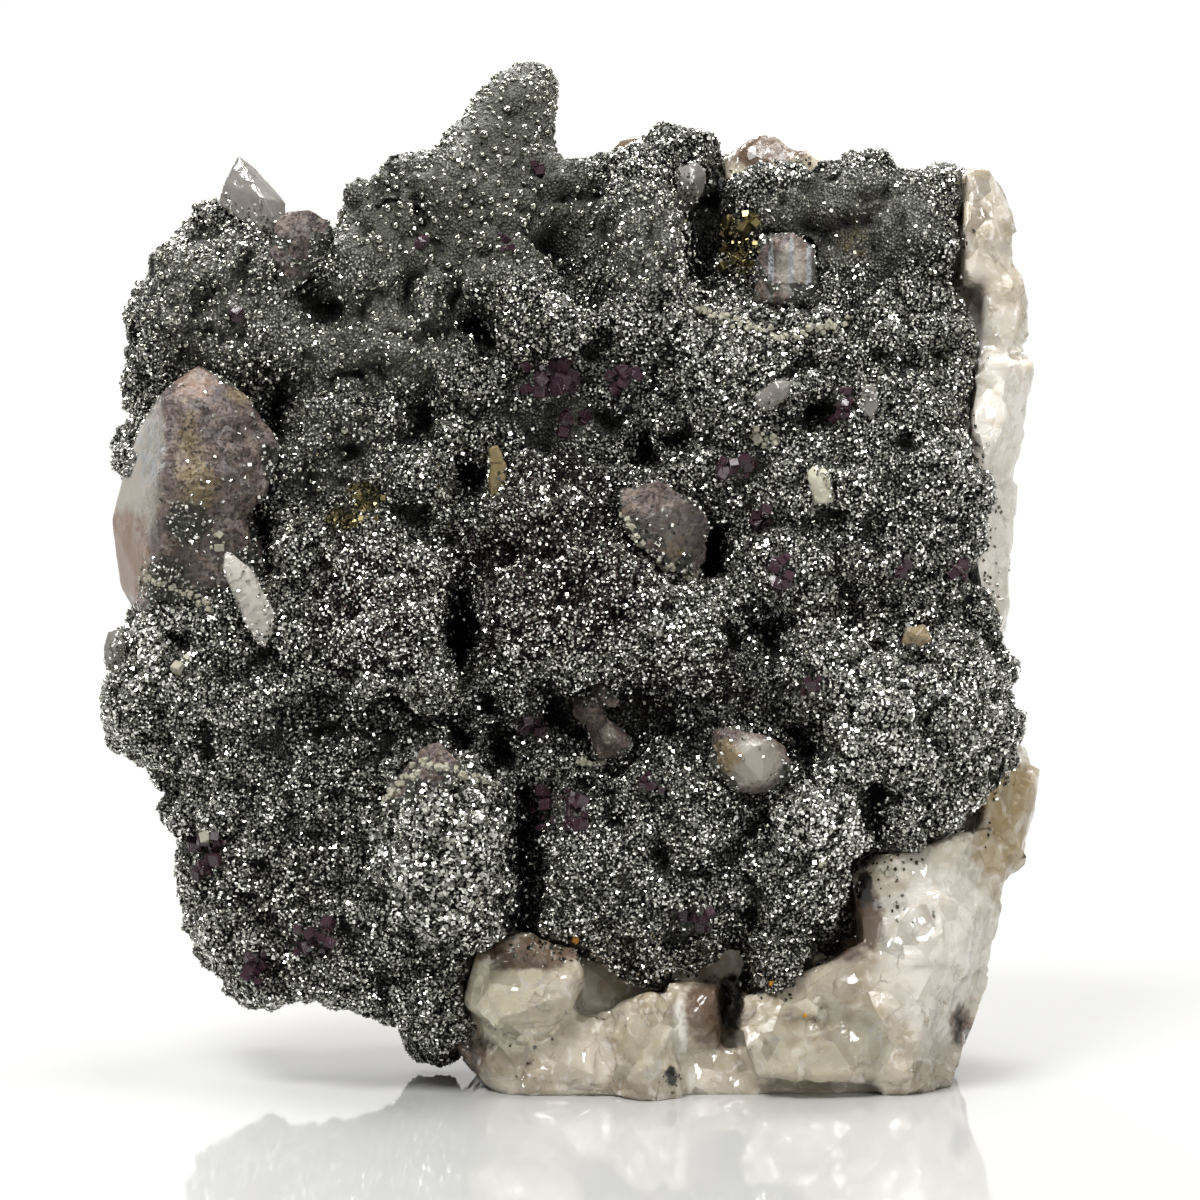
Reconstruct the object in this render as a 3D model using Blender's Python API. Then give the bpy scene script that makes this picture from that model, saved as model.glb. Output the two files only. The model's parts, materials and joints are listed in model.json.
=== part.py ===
"""Fluorite with quartz and pyrite: a mineral specimen that stands on the flat break of its quartz base.

All sizes are millimetres until place() turns them into metres. Every shape is first laid out as the viewer
sees it: x to the right, z up from the table and a depth away from the viewer, measured from the upright plane
through the middle of the specimen. place() then moves each point along the viewer's line of sight, so that
near and far shapes keep the outline they were laid out with.
"""

import itertools
import random

import bmesh
import bpy
from mathutils import Euler, Vector, noise

MM = 0.001

# The viewer
VIEW_DISTANCE = 600.0
VIEW_HEIGHT = 110.0

# The crust: a slab that leans back towards its top and curls back at its sides
CRUST_FRONT = -12.0
CRUST_BACK = 5.0
CRUST_WALL = 3.0
LEAN_START = 45.0
LEAN_SPAN = 55.0
LEAN_BACK = 14.0
LEAN_POWER = 1.4
CURL_BACK = 6.0
CURL_POWER = 3
HALF_WIDTH = 50.0

# Its lumps, pits and nodules
RELIEF = 1.25
LUMP_ROOT = 2.5
LUMP_FLATNESS = 0.6
PIT_EDGE = 0.06
FACES_AWAY = 0.2
NODULE_SIZE = 5.0
NODULE_HEIGHT = 2.4
NODULE_REST = 0.68
RIPPLE_SIZE = 9.0
RIPPLE_HEIGHT = 1.8
CRUST_VOXEL = 1.1
CRUST_TRIANGLES = 5700

# The crystals on it
PLATE_TAPER = 0.8
PRISM_SIDES = 6
PRISM_TIP_UP = 0.35
SEAT_GAP = 0.4
SHARPEST_CORNER = 1.8

# The matrix and its broken back, which is thicker to the right and towards the top
BASE_FRONT = -15.0
BLOCK_UNEVEN = 0.25
BACK_SEED = 5
BACK_ROWS = 6
BACK_COLUMNS = 5
BACK_STEP_ACROSS = 17.5
BACK_STEP_UP = 17.0
BACK_LEFT = -34.0
BACK_BOTTOM = 9.0
BACK_MIDDLE = 20.5
BACK_RISE_RIGHT = 0.07
BACK_RISE_UP = 0.03
BACK_INSET = 7.0
HIDDEN_TOP = 98.0
HIDDEN_RIGHT = 45.5
HIDDEN_LEFT = -42.0
FOOT_LEFT = -4.0
FOOT_RIGHT = 40.5
FOOT_TOP = 16.0
TAPER_TOP = 50.0
TAPER_LEFT = 0.35
TAPER_RIGHT = 0.25

# Outline of the crust, clockwise from the foot of the horn: x, z
CRUST_OUTLINE = (
    (-2.6, 104.0), (-1, 103.4), (3.5, 103), (5, 104), (9, 105.2), (12, 107), (13.8, 106.4), (16, 103.5),
    (21, 102.5), (28, 102.5), (31, 104), (34.6, 104.2), (35.6, 101.3), (38, 101.2), (41, 103.4),
    (43.6, 103.6), (42.8, 94), (43.4, 84), (44.2, 78), (45.5, 69), (46, 60), (47.4, 52), (48.6, 47),
    (49.2, 43), (48.8, 38),
    (46.8, 33), (45.5, 30.6), (38.5, 28), (34.8, 26.6), (32, 25.5), (30.5, 19.5), (27.2, 13.6), (23, 11),
    (20.2, 11.2), (19.2, 15.5), (16.3, 14.5), (13.5, 15), (8, 14), (3.8, 16), (2, 19), (-8.5, 19.5),
    (-11, 16), (-11, 10), (-12.6, 7), (-14.4, 5.4), (-16.2, 5.8), (-17.8, 8.8), (-20, 11), (-23, 11),
    (-30, 11.6), (-33.9, 11), (-36, 12), (-37.8, 14), (-39.2, 17.6), (-41.2, 21.6), (-41.8, 26),
    (-42.2, 30.8), (-44, 35.6), (-48.4, 39.6), (-50.6, 42.5), (-50.7, 47.5), (-49.4, 50.8), (-47, 54),
    (-46.2, 60), (-47.4, 68), (-48.6, 72.4), (-46.4, 76.6), (-47.2, 80.5), (-47.6, 85), (-46.4, 90),
    (-43.4, 93), (-41, 95), (-40, 98.6), (-37.6, 99.4), (-34.8, 97), (-30, 92), (-27, 94.5),
    (-24.5, 97.6), (-20.6, 101.2), (-18.6, 103), (-14, 104.4),
)

# Lumps of the crust: x, z, half width, half height, how far they stand proud of the slab
CRUST_LUMPS = (
    # The horn at the top, which rises at the back
    (-8.2, 103.5, 6.2, 5.4, -2.0), (-7.0, 106.6, 4.5, 4.4, -3.0), (-5.9, 109.5, 3.2, 3.3, -3.5),
    (-4.4, 111.8, 1.7, 2.3, -4.0),
    # The back mound left of the tongue
    (-13.0, 99.0, 9.5, 6.2, 1.0), (-19.5, 97.0, 5.5, 5.5, 2.0), (-5.0, 98.5, 6.5, 5.5, 1.5),
    # The tongue and the lump at its foot
    (7.6, 99.5, 4.4, 5.4, 6.5), (8.8, 94.0, 5.6, 7.5, 8.0), (9.0, 88.0, 6.2, 4.6, 6.0),
    # The crest behind the tongue and the top right
    (12.0, 106.0, 3.2, 2.6, 0.5), (29.0, 98.0, 5.5, 5.5, 0.5), (33.0, 101.0, 4.5, 4.2, 0.0),
    (20.5, 95.5, 3.6, 4.5, 1.0), (36.0, 93.0, 4.5, 5.0, 1.5), (40.5, 97.0, 3.8, 6.8, 3.0),
    (31.5, 90.0, 5.0, 4.4, 1.0),
    # The top left lobe
    (-36.5, 93.0, 4.6, 6.6, 4.0), (-43.0, 87.5, 5.0, 6.4, 4.0), (-34.6, 85.0, 6.2, 5.0, 3.5),
    (-44.6, 80.5, 3.6, 4.4, 2.5), (-38.0, 88.5, 5.0, 4.5, 4.0),
    # Lumps between the lobe and the knob
    (-23.2, 92.5, 4.4, 5.2, 3.0), (-16.5, 90.0, 5.2, 5.4, 3.5), (-27.0, 84.5, 6.0, 5.0, 2.0),
    (-20.0, 82.5, 5.0, 4.6, 2.5), (-24.0, 77.5, 6.5, 5.5, 1.5),
    # The knob left of the tongue
    (-7.5, 92.0, 5.6, 5.4, 5.5), (-3.6, 88.2, 5.4, 4.6, 6.0), (-11.5, 84.0, 4.6, 4.0, 2.0),
    (-2.0, 81.5, 5.0, 4.0, 2.0), (5.0, 80.5, 5.5, 4.5, 2.5),
    # The knobbly crest under the block at the top right
    (14.5, 84.6, 6.0, 4.0, 5.0), (21.5, 85.0, 6.0, 3.8, 4.5), (27.8, 86.0, 4.5, 3.4, 4.0),
    (17.5, 78.5, 6.0, 5.0, 3.5), (25.5, 79.0, 5.0, 4.5, 3.0),
    # The broad plateau at the right
    (36.5, 86.5, 6.0, 5.2, 3.0), (36.5, 77.5, 8.0, 7.5, 4.0), (40.5, 69.5, 6.5, 8.0, 5.0),
    (32.5, 68.0, 6.0, 7.0, 4.0), (38.0, 60.0, 7.0, 6.0, 3.0), (25.5, 69.0, 5.0, 6.0, 3.0),
    (25.0, 58.5, 7.0, 6.0, 3.5),
    # The rounded mound left of the centre
    (-19.5, 55.0, 7.6, 9.0, 7.0), (-22.5, 62.5, 6.0, 4.5, 3.5), (-14.5, 52.0, 4.5, 6.5, 5.0),
    (-29.5, 60.0, 5.5, 6.5, 2.0), (-28.5, 51.0, 5.0, 5.5, 1.5), (-31.0, 70.0, 5.0, 5.5, 1.0),
    (-17.0, 68.5, 5.5, 4.0, 2.5),
    # The plate and the broad mound in the middle
    (-3.0, 66.5, 6.4, 6.0, 5.0), (-1.5, 55.0, 8.5, 7.5, 6.0), (6.5, 52.5, 8.5, 7.5, 6.5),
    (2.5, 59.5, 7.0, 4.5, 6.0), (13.8, 51.5, 6.0, 6.0, 4.5), (14.5, 70.5, 4.5, 4.0, 2.0),
    # The big mound at the right, which ends below in a ledge
    (35.5, 41.5, 9.5, 10.5, 8.0), (42.0, 44.0, 7.0, 8.0, 6.5), (29.5, 47.5, 6.5, 6.5, 5.0),
    (42.5, 36.0, 5.0, 4.6, 6.0), (36.5, 33.0, 5.0, 4.2, 6.5),
    # The bright mound below it, the smooth lump and the small dark mound
    (28.0, 31.0, 5.6, 4.5, 8.0), (28.5, 23.8, 4.2, 4.2, 7.0), (24.0, 14.5, 4.6, 4.6, 4.5),
    (22.5, 25.0, 4.5, 4.5, 5.0),
    # Lumps of the lower middle
    (1.5, 27.0, 5.5, 6.5, 4.0), (4.5, 34.0, 5.5, 4.5, 3.5), (13.0, 32.5, 6.5, 6.0, 4.5),
    (9.5, 22.0, 6.0, 5.5, 3.5), (17.0, 22.5, 4.5, 5.0, 3.5), (-0.5, 20.0, 4.0, 3.0, 2.5),
    # The mound of coarse grains at the lower left
    (-14.2, 29.0, 7.6, 9.2, 9.5), (-13.0, 22.5, 6.0, 5.0, 6.5), (-15.5, 35.5, 5.6, 4.2, 7.5),
    # The even slope at the lower left
    (-33.4, 32.0, 11.4, 15.0, 1.5), (-26.0, 18.0, 12.0, 6.0, 2.0), (-45.5, 45.5, 5.0, 5.5, 2.5),
    (-39.5, 42.0, 7.0, 5.5, 2.0), (-16.0, 11.0, 4.5, 4.5, 1.5),
)

# Pits and clefts of the crust: x, z, half width, half height, how deep
CRUST_PITS = (
    (15.4, 94.5, 1.6, 6.5, 9.0), (-9.0, 85.0, 1.7, 2.2, 6.0), (-17.4, 74.0, 1.4, 1.9, 5.0),
    (8.5, 72.0, 2.0, 1.2, 4.0), (-12.4, 52.5, 1.9, 4.8, 9.0), (15.9, 61.4, 1.5, 3.8, 8.0),
    (-11.0, 69.2, 2.4, 1.6, 5.0), (-12.8, 38.2, 1.7, 1.9, 5.0), (-4.7, 27.5, 1.6, 8.6, 9.0),
    (18.1, 11.5, 2.6, 5.0, 10.0), (34.4, 25.3, 2.3, 3.0, 9.0), (-2.0, 74.8, 6.0, 3.4, 3.0),
    (-16.0, 42.5, 3.2, 1.6, 4.0), (-27.0, 88.0, 1.4, 1.8, 5.0), (27.0, 77.0, 1.6, 1.4, 3.0),
    (34.8, 32.6, 1.3, 4.6, 4.0), (-32.4, 74.8, 1.6, 4.6, 6.0), (-34.0, 63.6, 1.3, 3.6, 5.0),
    (-30.0, 68.0, 5.5, 3.2, 3.0), (3.6, 42.6, 7.8, 3.6, 5.0), (-22.0, 43.5, 8.0, 2.6, 3.5),
    (-8.5, 40.5, 4.0, 3.0, 4.0), (20.5, 53.0, 2.5, 5.0, 2.5), (-31.0, 78.5, 3.0, 3.0, 3.0),
)


def lean(x, z):
    """How far the face of the crust lies back at this place."""
    back = LEAN_BACK * max(0.0, (z - LEAN_START) / LEAN_SPAN) ** LEAN_POWER
    curl = CURL_BACK * (abs(x) / HALF_WIDTH) ** CURL_POWER
    return back + curl


def place(x, depth, z):
    """A point in metres: the place seen at x, z, moved along the line of sight to this depth."""
    stretch = 1.0 + depth / VIEW_DISTANCE
    return Vector((x * stretch, depth, VIEW_HEIGHT + (z - VIEW_HEIGHT) * stretch)) * MM


def add_object(name, mesh):
    """An object with this mesh, linked to the scene."""
    obj = bpy.data.objects.new(name, mesh)
    bpy.context.scene.collection.objects.link(obj)
    return obj


def object_from_bmesh(name, bm):
    """An object with the shape of this bmesh, which is freed."""
    bmesh.ops.recalc_face_normals(bm, faces=bm.faces)
    mesh = bpy.data.meshes.new(name)
    bm.to_mesh(mesh)
    bm.free()
    return add_object(name, mesh)


def apply_modifiers(obj):
    """Give the object the mesh that its modifiers make, and drop them."""
    bpy.context.view_layer.update()
    evaluated = obj.evaluated_get(bpy.context.evaluated_depsgraph_get())
    mesh = bpy.data.meshes.new_from_object(evaluated)
    obj.modifiers.clear()
    obj.data = mesh


def boolean(obj, tool, operation):
    """Unite the tool with the object, or cut it away."""
    modifier = obj.modifiers.new(operation.title(), 'BOOLEAN')
    modifier.operation = operation
    modifier.solver = 'EXACT'
    modifier.object = tool
    apply_modifiers(obj)


def hull(name, points):
    """A flat-faced convex solid around points in metres."""
    bm = bmesh.new()
    for point in points:
        bm.verts.new(point)
    found = bmesh.ops.convex_hull(bm, input=bm.verts)
    inside = [part for part in found['geom_interior'] if isinstance(part, bmesh.types.BMVert)]
    bmesh.ops.delete(bm, geom=inside, context='VERTS')
    return object_from_bmesh(name, bm)


def block(corners):
    """A flat-faced block from corners x, depth, z, each a little off so that no two faces share a plane."""
    steady = random.Random(round(1000 * sum(map(sum, corners))))
    uneven = [[part + steady.uniform(-BLOCK_UNEVEN, BLOCK_UNEVEN) for part in corner] for corner in corners]
    return hull('block', [place(*corner) for corner in uneven])


def crystal(centre, corners):
    """A flat-faced crystal on the crust, from corners x, z and how far they stand proud of its face."""
    face = CRUST_FRONT + lean(*centre)
    return hull('crystal', [place(x, face - proud, z) for x, z, proud in corners])


def plate(centre, outline, front, back):
    """A crystal with this outline of x, z, between two heights above the face of the crust."""
    near = [(x, z, front) for x, z in outline]
    middle_x = sum(x for x, z in outline) / len(outline)
    middle_z = sum(z for x, z in outline) / len(outline)
    far = [
        (middle_x + PLATE_TAPER * (x - middle_x), middle_z + PLATE_TAPER * (z - middle_z), back)
        for x, z in outline
    ]
    return crystal(centre, near + far)


def prism(centre, length, radius, turn, proud):
    """A small six-sided crystal with a pointed end, lying on the face of the crust."""
    bm = bmesh.new()
    bmesh.ops.create_cone(
        bm, cap_ends=True, segments=PRISM_SIDES, radius1=radius, radius2=radius, depth=length,
    )
    top = [face for face in bm.faces if face.normal.z > 0.9]
    raised = bmesh.ops.poke(bm, faces=top)
    raised['verts'][0].co.z += radius
    bmesh.ops.rotate(bm, verts=bm.verts, matrix=Euler((PRISM_TIP_UP, turn, 0.0)).to_matrix())
    face = CRUST_FRONT + lean(*centre)
    for vert in bm.verts:
        x, depth, z = vert.co
        vert.co = place(centre[0] + x, face - proud + depth, centre[1] + z)
    bmesh.ops.triangulate(bm, faces=bm.faces)
    return object_from_bmesh('prism', bm)


def union(name, parts):
    """One solid from several that overlap."""
    whole = parts[0]
    whole.name = name
    whole.data.name = name
    for part in parts[1:]:
        boolean(whole, part, 'UNION')
        bpy.data.objects.remove(part)
    return whole


def crust_slab():
    """The crust before its lumps, as a bmesh laid out flat."""
    bm = bmesh.new()
    verts = [bm.verts.new((x * MM, CRUST_FRONT * MM, z * MM)) for x, z in CRUST_OUTLINE]
    face = bm.faces.new(verts)
    raised = bmesh.ops.extrude_face_region(bm, geom=[face])
    back = [part for part in raised['geom'] if isinstance(part, bmesh.types.BMVert)]
    bmesh.ops.translate(bm, verts=back, vec=(0.0, (CRUST_BACK - CRUST_FRONT) * MM, 0.0))
    bmesh.ops.triangulate(bm, faces=bm.faces)
    return bm


def add_lump(bm, x, z, half_width, half_height, proud):
    """A rounded lump of the crust, laid out flat."""
    height = RELIEF * proud
    half_depth = max(abs(height) + LUMP_ROOT, LUMP_FLATNESS * min(half_width, half_height))
    made = bmesh.ops.create_icosphere(bm, subdivisions=3, radius=1.0)
    for vert in made['verts']:
        depth = CRUST_FRONT - height + half_depth * (1.0 + vert.co.y)
        vert.co = Vector((x + half_width * vert.co.x, depth, z + half_height * vert.co.z)) * MM


def pit_depth(x, z):
    """How deep the pits and clefts are at this place."""
    deepest = 0.0
    for pit_x, pit_z, half_width, half_height, depth in CRUST_PITS:
        away = ((x - pit_x) / half_width) ** 2 + ((z - pit_z) / half_height) ** 2
        deepest = max(deepest, RELIEF * depth * (1.0 / (1.0 + away ** 2) - PIT_EDGE))
    return deepest


def nodules(point):
    """Height of the small rounded lumps and the broad ripples at a point in millimetres."""
    nearest = noise.voronoi(point / NODULE_SIZE)[0][0]
    small = NODULE_HEIGHT * (NODULE_REST - nearest)
    broad = RIPPLE_HEIGHT * noise.noise(point / RIPPLE_SIZE)
    return small + broad


def shape_crust(mesh):
    """Raise the nodules, sink the pits, then lean the crust back and place it along the line of sight."""
    normals = [vert.normal.copy() for vert in mesh.vertices]
    for vert, normal in zip(mesh.vertices, normals):
        point = vert.co / MM
        point += normal * nodules(point)
        if normal.y < FACES_AWAY and point.y < CRUST_BACK - CRUST_WALL:
            point.y = min(point.y + pit_depth(point.x, point.z), CRUST_BACK - CRUST_WALL)
        vert.co = place(point.x, point.y + lean(point.x, point.z), point.z)


def fuse(obj):
    """Turn overlapping shapes into one even skin, a little rounded."""
    remesh = obj.modifiers.new('Fuse', 'REMESH')
    remesh.mode = 'VOXEL'
    remesh.voxel_size = CRUST_VOXEL * MM
    smooth = obj.modifiers.new('Round', 'SMOOTH')
    smooth.factor = 0.5
    smooth.iterations = 1
    apply_modifiers(obj)


def build_crust():
    """The dark crust, before its neighbours are cut out of it."""
    bm = crust_slab()
    for lump in CRUST_LUMPS:
        add_lump(bm, *lump)
    obj = object_from_bmesh('pyrite_crust', bm)
    fuse(obj)
    shape_crust(obj.data)
    fuse(obj)
    fewer = obj.modifiers.new('Fewer', 'DECIMATE')
    faces = sum(len(polygon.vertices) - 2 for polygon in obj.data.polygons)
    fewer.ratio = CRUST_TRIANGLES / faces
    apply_modifiers(obj)
    return obj


def base_crystals():
    """The pale blocks and crystals of the base, which show below the crust."""
    front = BASE_FRONT
    return [
        # The stepped clear crystal at the left of the base
        block([
            (-10.2, front + 2, 17.2), (-5.4, front + 1, 18.2), (0.7, front + 1, 16.8), (1.9, front, 13.1),
            (0.3, front, 9.9), (-8.3, front, 7.9), (-11.8, front + 2, 10.6), (-9.5, front - 2.0, 11.2),
            (0.2, front - 1.8, 13.4), (-7.5, front - 1.6, 8.9), (-9, 0, 18), (1, 0, 16), (-11, 0, 9),
            (1, 0, 9),
        ]),
        # The smooth body below it, whose left edge is the foot of the specimen
        block([
            (-12.8, front + 7, 5.6), (-8.9, front + 3, 2.6), (-3.4, front + 1.5, -6), (8, front + 1, -6),
            (8, front + 1.5, 9.4), (-6, front + 1.5, 9.4), (-12.2, front + 6, 8.4), (-13, 2, 6.4),
            (-3.4, 4, -6), (8, 4, -6), (8, 4, 10),
        ]),
        # The tall ridged crystal
        block([
            (4.5, front, 7.6), (5.7, front, 10.5), (8.3, front - 2.2, 11.6), (9.6, front - 1.5, 12.2),
            (11, front, 11), (12, front, 6), (13.6, front, -6), (6.6, front, -6), (7, front - 2.4, 5),
            (9.8, front - 2.2, -6), (5, 0, 10), (11, 0, 11), (13, 0, -6), (6, 0, -6),
        ]),
        # The brown crystals right of it
        block([
            (11.2, front + 1, 13), (16.4, front + 1.4, 12.4), (16.9, front + 2, 6.4), (12, front + 1.5, 5),
            (13.8, front - 0.6, 9.6), (11, 0, 14), (17, 0, 13), (17, 0, 5), (11, 0, 4),
        ]),
        # The recessed foot between the crystals
        block([
            (11, front + 2.2, 5.6), (22, front + 2.4, 5.2), (37, front + 3, 3), (41.5, front + 5, 2.5),
            (41.8, front + 5.5, -6), (11, front + 1.8, -6), (11, 4, 6), (41.5, 4, 4), (41.5, 4, -6),
            (11, 4, -6),
        ]),
        # The big yellowish block with the worn lower edge
        block([
            (19.6, front, 10.4), (20, front - 1, 5.3), (21, front - 0.6, 2.2), (27.5, front - 1.4, 1.6),
            (33, front - 0.8, 2.6), (35.8, front + 1, 1.4), (36, front + 0.5, 12), (32, front + 0.4, 16.8),
            (28.4, front, 13.6), (24.5, front - 1.2, 10.8), (20, 0, 12), (36, 0, 15), (36, 0, 2), (21, 0, 3),
        ]),
        # The grey block above it
        block([
            (27.2, front + 1, 12.4), (28.8, front + 0.2, 15.4), (32.2, front + 0.4, 15.6),
            (32.6, front + 1.4, 11), (29.4, front + 0.2, 9.5), (27, 0, 16), (33, 0, 16), (33, 0, 9),
        ]),
        # The big pale flank that carries the right mound
        block([
            (31.6, front + 3.4, 25), (34.5, front + 1.6, 26.8), (41, front + 2.2, 28.6),
            (46.8, front + 6, 30.6), (49.2, front + 9, 27), (47.2, front + 8.6, 18.4), (44.6, front + 7, 12),
            (43.4, front + 7, 6.4), (41, front + 6, -6), (35.6, front + 1.8, -6), (33.6, front + 0.8, 9),
            (32.8, front + 0.2, 17), (38.6, front - 0.6, 19), (40.2, front + 0.4, 9), (33, 4, 28),
            (48, 6, 28), (40.6, 6, -6), (33, 4, -6),
        ]),
        block([
            (36.5, front + 1, 22), (41.6, front - 0.4, 23.5), (45.2, front + 2.2, 21),
            (44.6, front + 3.4, 14), (40.4, front + 0.6, 10.6), (37, front + 1.6, 14), (38, 0, 26),
            (46.4, 0, 24), (43.6, 0, 12), (37, 0, 10),
        ]),
    ]


def flank_crystals():
    """The pale and tan crystals of the right flank, from the bottom up."""
    return [
        block([
            (46.2, -7, 31), (50.6, -3, 26), (51.6, 0, 32.6), (51.7, 1, 37), (51, 2, 40.2), (47.5, -4, 41.6),
            (46.6, -7.5, 37), (44, 8, 42), (51, 14, 38), (50.4, 14, 26), (43, 10, 24),
        ]),
        block([
            (47.4, -5, 24.6), (50.4, -2.4, 26.6), (50.2, -3.4, 30.6), (47, -6.6, 31.6), (44.4, -7, 27.4),
            (43, 8, 32), (50, 10, 30), (46, 8, 20),
        ]),
        block([
            (45.6, -4, 50), (48.4, -1, 53.7), (49.1, 0, 57), (49.2, 1, 63.7), (49.4, 2, 69.2),
            (46.2, -1, 70), (44.6, -4, 60), (42, 12, 72), (48.6, 15, 68), (48.2, 14, 50), (42, 10, 46),
        ]),
        block([
            (45.2, -3, 69), (45, -3.5, 76), (46.4, -2.5, 83.2), (48.6, -2, 82.6), (51.7, 2, 82.4),
            (51.2, 1, 78), (50.2, 0, 73.7), (49.4, 0, 69.4), (48.4, -4.4, 76), (43, 14, 82), (50.6, 16, 81),
            (49, 15, 70), (42, 12, 68),
        ]),
        block([
            (46, 2, 82.6), (48.4, 1, 83), (51, 4, 85.4), (50.5, 6, 90.2), (50, 4, 93), (46, 2.5, 91),
            (44, 15, 93), (50, 17, 90), (50, 16, 84), (43, 13, 82),
        ]),
        block([
            (43.6, 1, 91.5), (43.8, 1.5, 98), (44.2, 3, 103.4), (46.3, 4.5, 103.6), (47.7, 6, 101.8),
            (48.6, 6, 99), (49.6, 5, 95.2), (49.4, 4, 91.8), (46.4, 1.2, 97), (43, 16, 103), (47.5, 18, 101),
            (48.4, 17, 92), (42, 14, 90),
        ]),
    ]


def crest_crystals():
    """The brown and grey crystals that look over the top edge from behind."""
    return [
        block([
            (17.2, 10, 104.8), (19.6, 9, 106.8), (21.5, 9.5, 107.5), (23.4, 10, 106.6), (25, 10.4, 104),
            (24, 7.5, 101), (18, 7, 100), (18, 18, 104), (24, 18, 104), (18, 18, 96), (25, 18, 96),
        ]),
        block([
            (24.6, 9, 105.7), (26, 9.5, 105.6), (28.4, 10, 104), (29, 9, 99), (23, 8.5, 99),
            (25, 18, 104.6), (29, 18, 102), (23, 18, 96),
        ]),
        block([
            (30, 11, 105.2), (33, 10, 105.8), (35.4, 10.6, 105.5), (36, 11, 102.6), (34, 8.4, 101.4),
            (30, 9, 102), (30, 19, 104), (36, 19, 103), (36, 19, 95), (29, 19, 95),
        ]),
        block([
            (4.2, 11, 104.8), (5.4, 10, 106.6), (7.6, 9.6, 107.1), (9.8, 10.4, 106.8), (10, 10, 102),
            (4, 9, 101), (5, 18, 105), (10, 18, 105), (4, 18, 97), (10, 18, 97),
        ]),
    ]


def main_bodies():
    """The two large bodies of the matrix: the thick right one and the thinner left one."""
    right = block([
        (-5.6, -8, -6), (40.4, -7, -6), (-5.6, 15, -6), (38, 15, -6), (-10, -4, 26), (45, -4, 40),
        (-10, 0, 60), (45, 2, 68), (-10, 10, 99), (44, 10, 100), (-10, 15, 40), (43, 16, 34),
        (43, 17, 70), (-12, 18, 84), (40, 19, 96), (0, 19, 97),
    ])
    left = block([
        (2, -3, 8), (-8.6, -2, 5.6), (-17, -1, 12.6), (-33, 1, 16.4), (-39, 1, 26), (-46.5, 4, 44),
        (-45, 5, 66), (-44, 9, 84), (-35.5, 13, 94), (-14, 12, 100), (0, 10, 99), (-36, 9, 28),
        (-42, 10, 46), (-41, 11, 68), (-39.5, 13, 84), (-32, 15, 92), (-12, 17, 96), (2, 17, 96),
        (-8, 13, 7), (-24, 12, 20), (-22, 14, 50), (-24, 15, 78), (2, 14, 8),
    ])
    return [right, left]


def back_depth(x, z):
    """Where the broken back lies: thicker to the right and towards the top."""
    return BACK_MIDDLE + BACK_RISE_RIGHT * x + BACK_RISE_UP * z


def hidden_corner(x, z, inset):
    """The nearest place that stays behind the outline as the viewer sees it, this far inside it."""
    z = min(z, HIDDEN_TOP - inset)
    left_end = HIDDEN_LEFT + TAPER_LEFT * max(0.0, TAPER_TOP - z)
    right_end = min(HIDDEN_RIGHT, FOOT_RIGHT + TAPER_RIGHT * z)
    if z < FOOT_TOP:
        left_end = FOOT_LEFT
    return min(max(x, left_end + inset), right_end - inset), z


def back_block(steady, x, z):
    """One broken block of the back, turned and sized a little at random."""
    half = Vector((steady.uniform(7, 12), steady.uniform(6, 8.5), steady.uniform(7, 12)))
    turn = Euler((steady.uniform(-0.3, 0.3), steady.uniform(-0.6, 0.6), steady.uniform(-0.3, 0.3)))
    depth = back_depth(x, z) + steady.uniform(-5.0, 1.5) - half.y
    corners = []
    for signs in itertools.product((-1, 1), repeat=3):
        corner = Vector(signs) * half
        corner.rotate(turn)
        inset = BACK_INSET * steady.random() ** 2
        corner_x, corner_z = hidden_corner(x + corner.x, z + corner.z, inset)
        corners.append((corner_x, depth + corner.y, corner_z))
    return block(corners)


def back_blocks():
    """Broken cleavage blocks over the hidden back, in uneven rows."""
    steady = random.Random(BACK_SEED)
    blocks = []
    for row, column in itertools.product(range(BACK_ROWS), range(BACK_COLUMNS)):
        x = BACK_LEFT + BACK_STEP_ACROSS * column + steady.uniform(-4, 4)
        z = BACK_BOTTOM + BACK_STEP_UP * row + steady.uniform(-4, 4)
        if x > -10 or z > 20:
            blocks.append(back_block(steady, x, z))
    return blocks


def matrix_parts():
    """The blocks of the pale quartz and fluorite matrix."""
    return main_bodies() + base_crystals() + flank_crystals() + crest_crystals() + back_blocks()


def cut_flat(matrix):
    """Cut the matrix flat where it stands."""
    floor = place(0.0, BASE_FRONT + 1.0, 0.0).z / MM
    below = hull('below', [
        Vector((x, depth, z)) * MM
        for x in (-80, 80)
        for depth in (-60, 60)
        for z in (floor - 40, floor)
    ])
    boolean(matrix, below, 'DIFFERENCE')
    bpy.data.objects.remove(below)


def left_crystal():
    """The big crystal at the left edge: its pale broken side and its dusty purple faces."""
    centre = (-41, 67)
    upper = crystal(centre, [
        (-40.9, 82.2, 0), (-45.1, 79, 1), (-47.3, 75.3, -2), (-48.9, 71.4, -3), (-50.7, 64.8, -6),
        (-49.8, 57.6, -6), (-48.4, 54.6, -5), (-44.6, 78, 3), (-45.4, 69.2, 5.5), (-45.6, 60.3, 4.5),
        (-46.5, 54.8, 2), (-36.2, 79, 2.5), (-31.7, 73.1, 0.5), (-33.8, 67.4, 2), (-38.6, 70, 5),
        (-47, 76, -12), (-49.4, 62, -14), (-36, 78, -12), (-34, 68, -12),
    ])
    lower = crystal(centre, [
        (-45, 66, 3), (-37.5, 67.4, 4), (-33.4, 58.7, 1), (-34.1, 51.9, 0), (-40.9, 54.8, 2.5),
        (-46, 56.4, 1), (-44, 66, -10), (-34, 66, -10), (-35, 53, -10), (-45, 56, -10),
    ])
    return [upper, lower]


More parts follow.
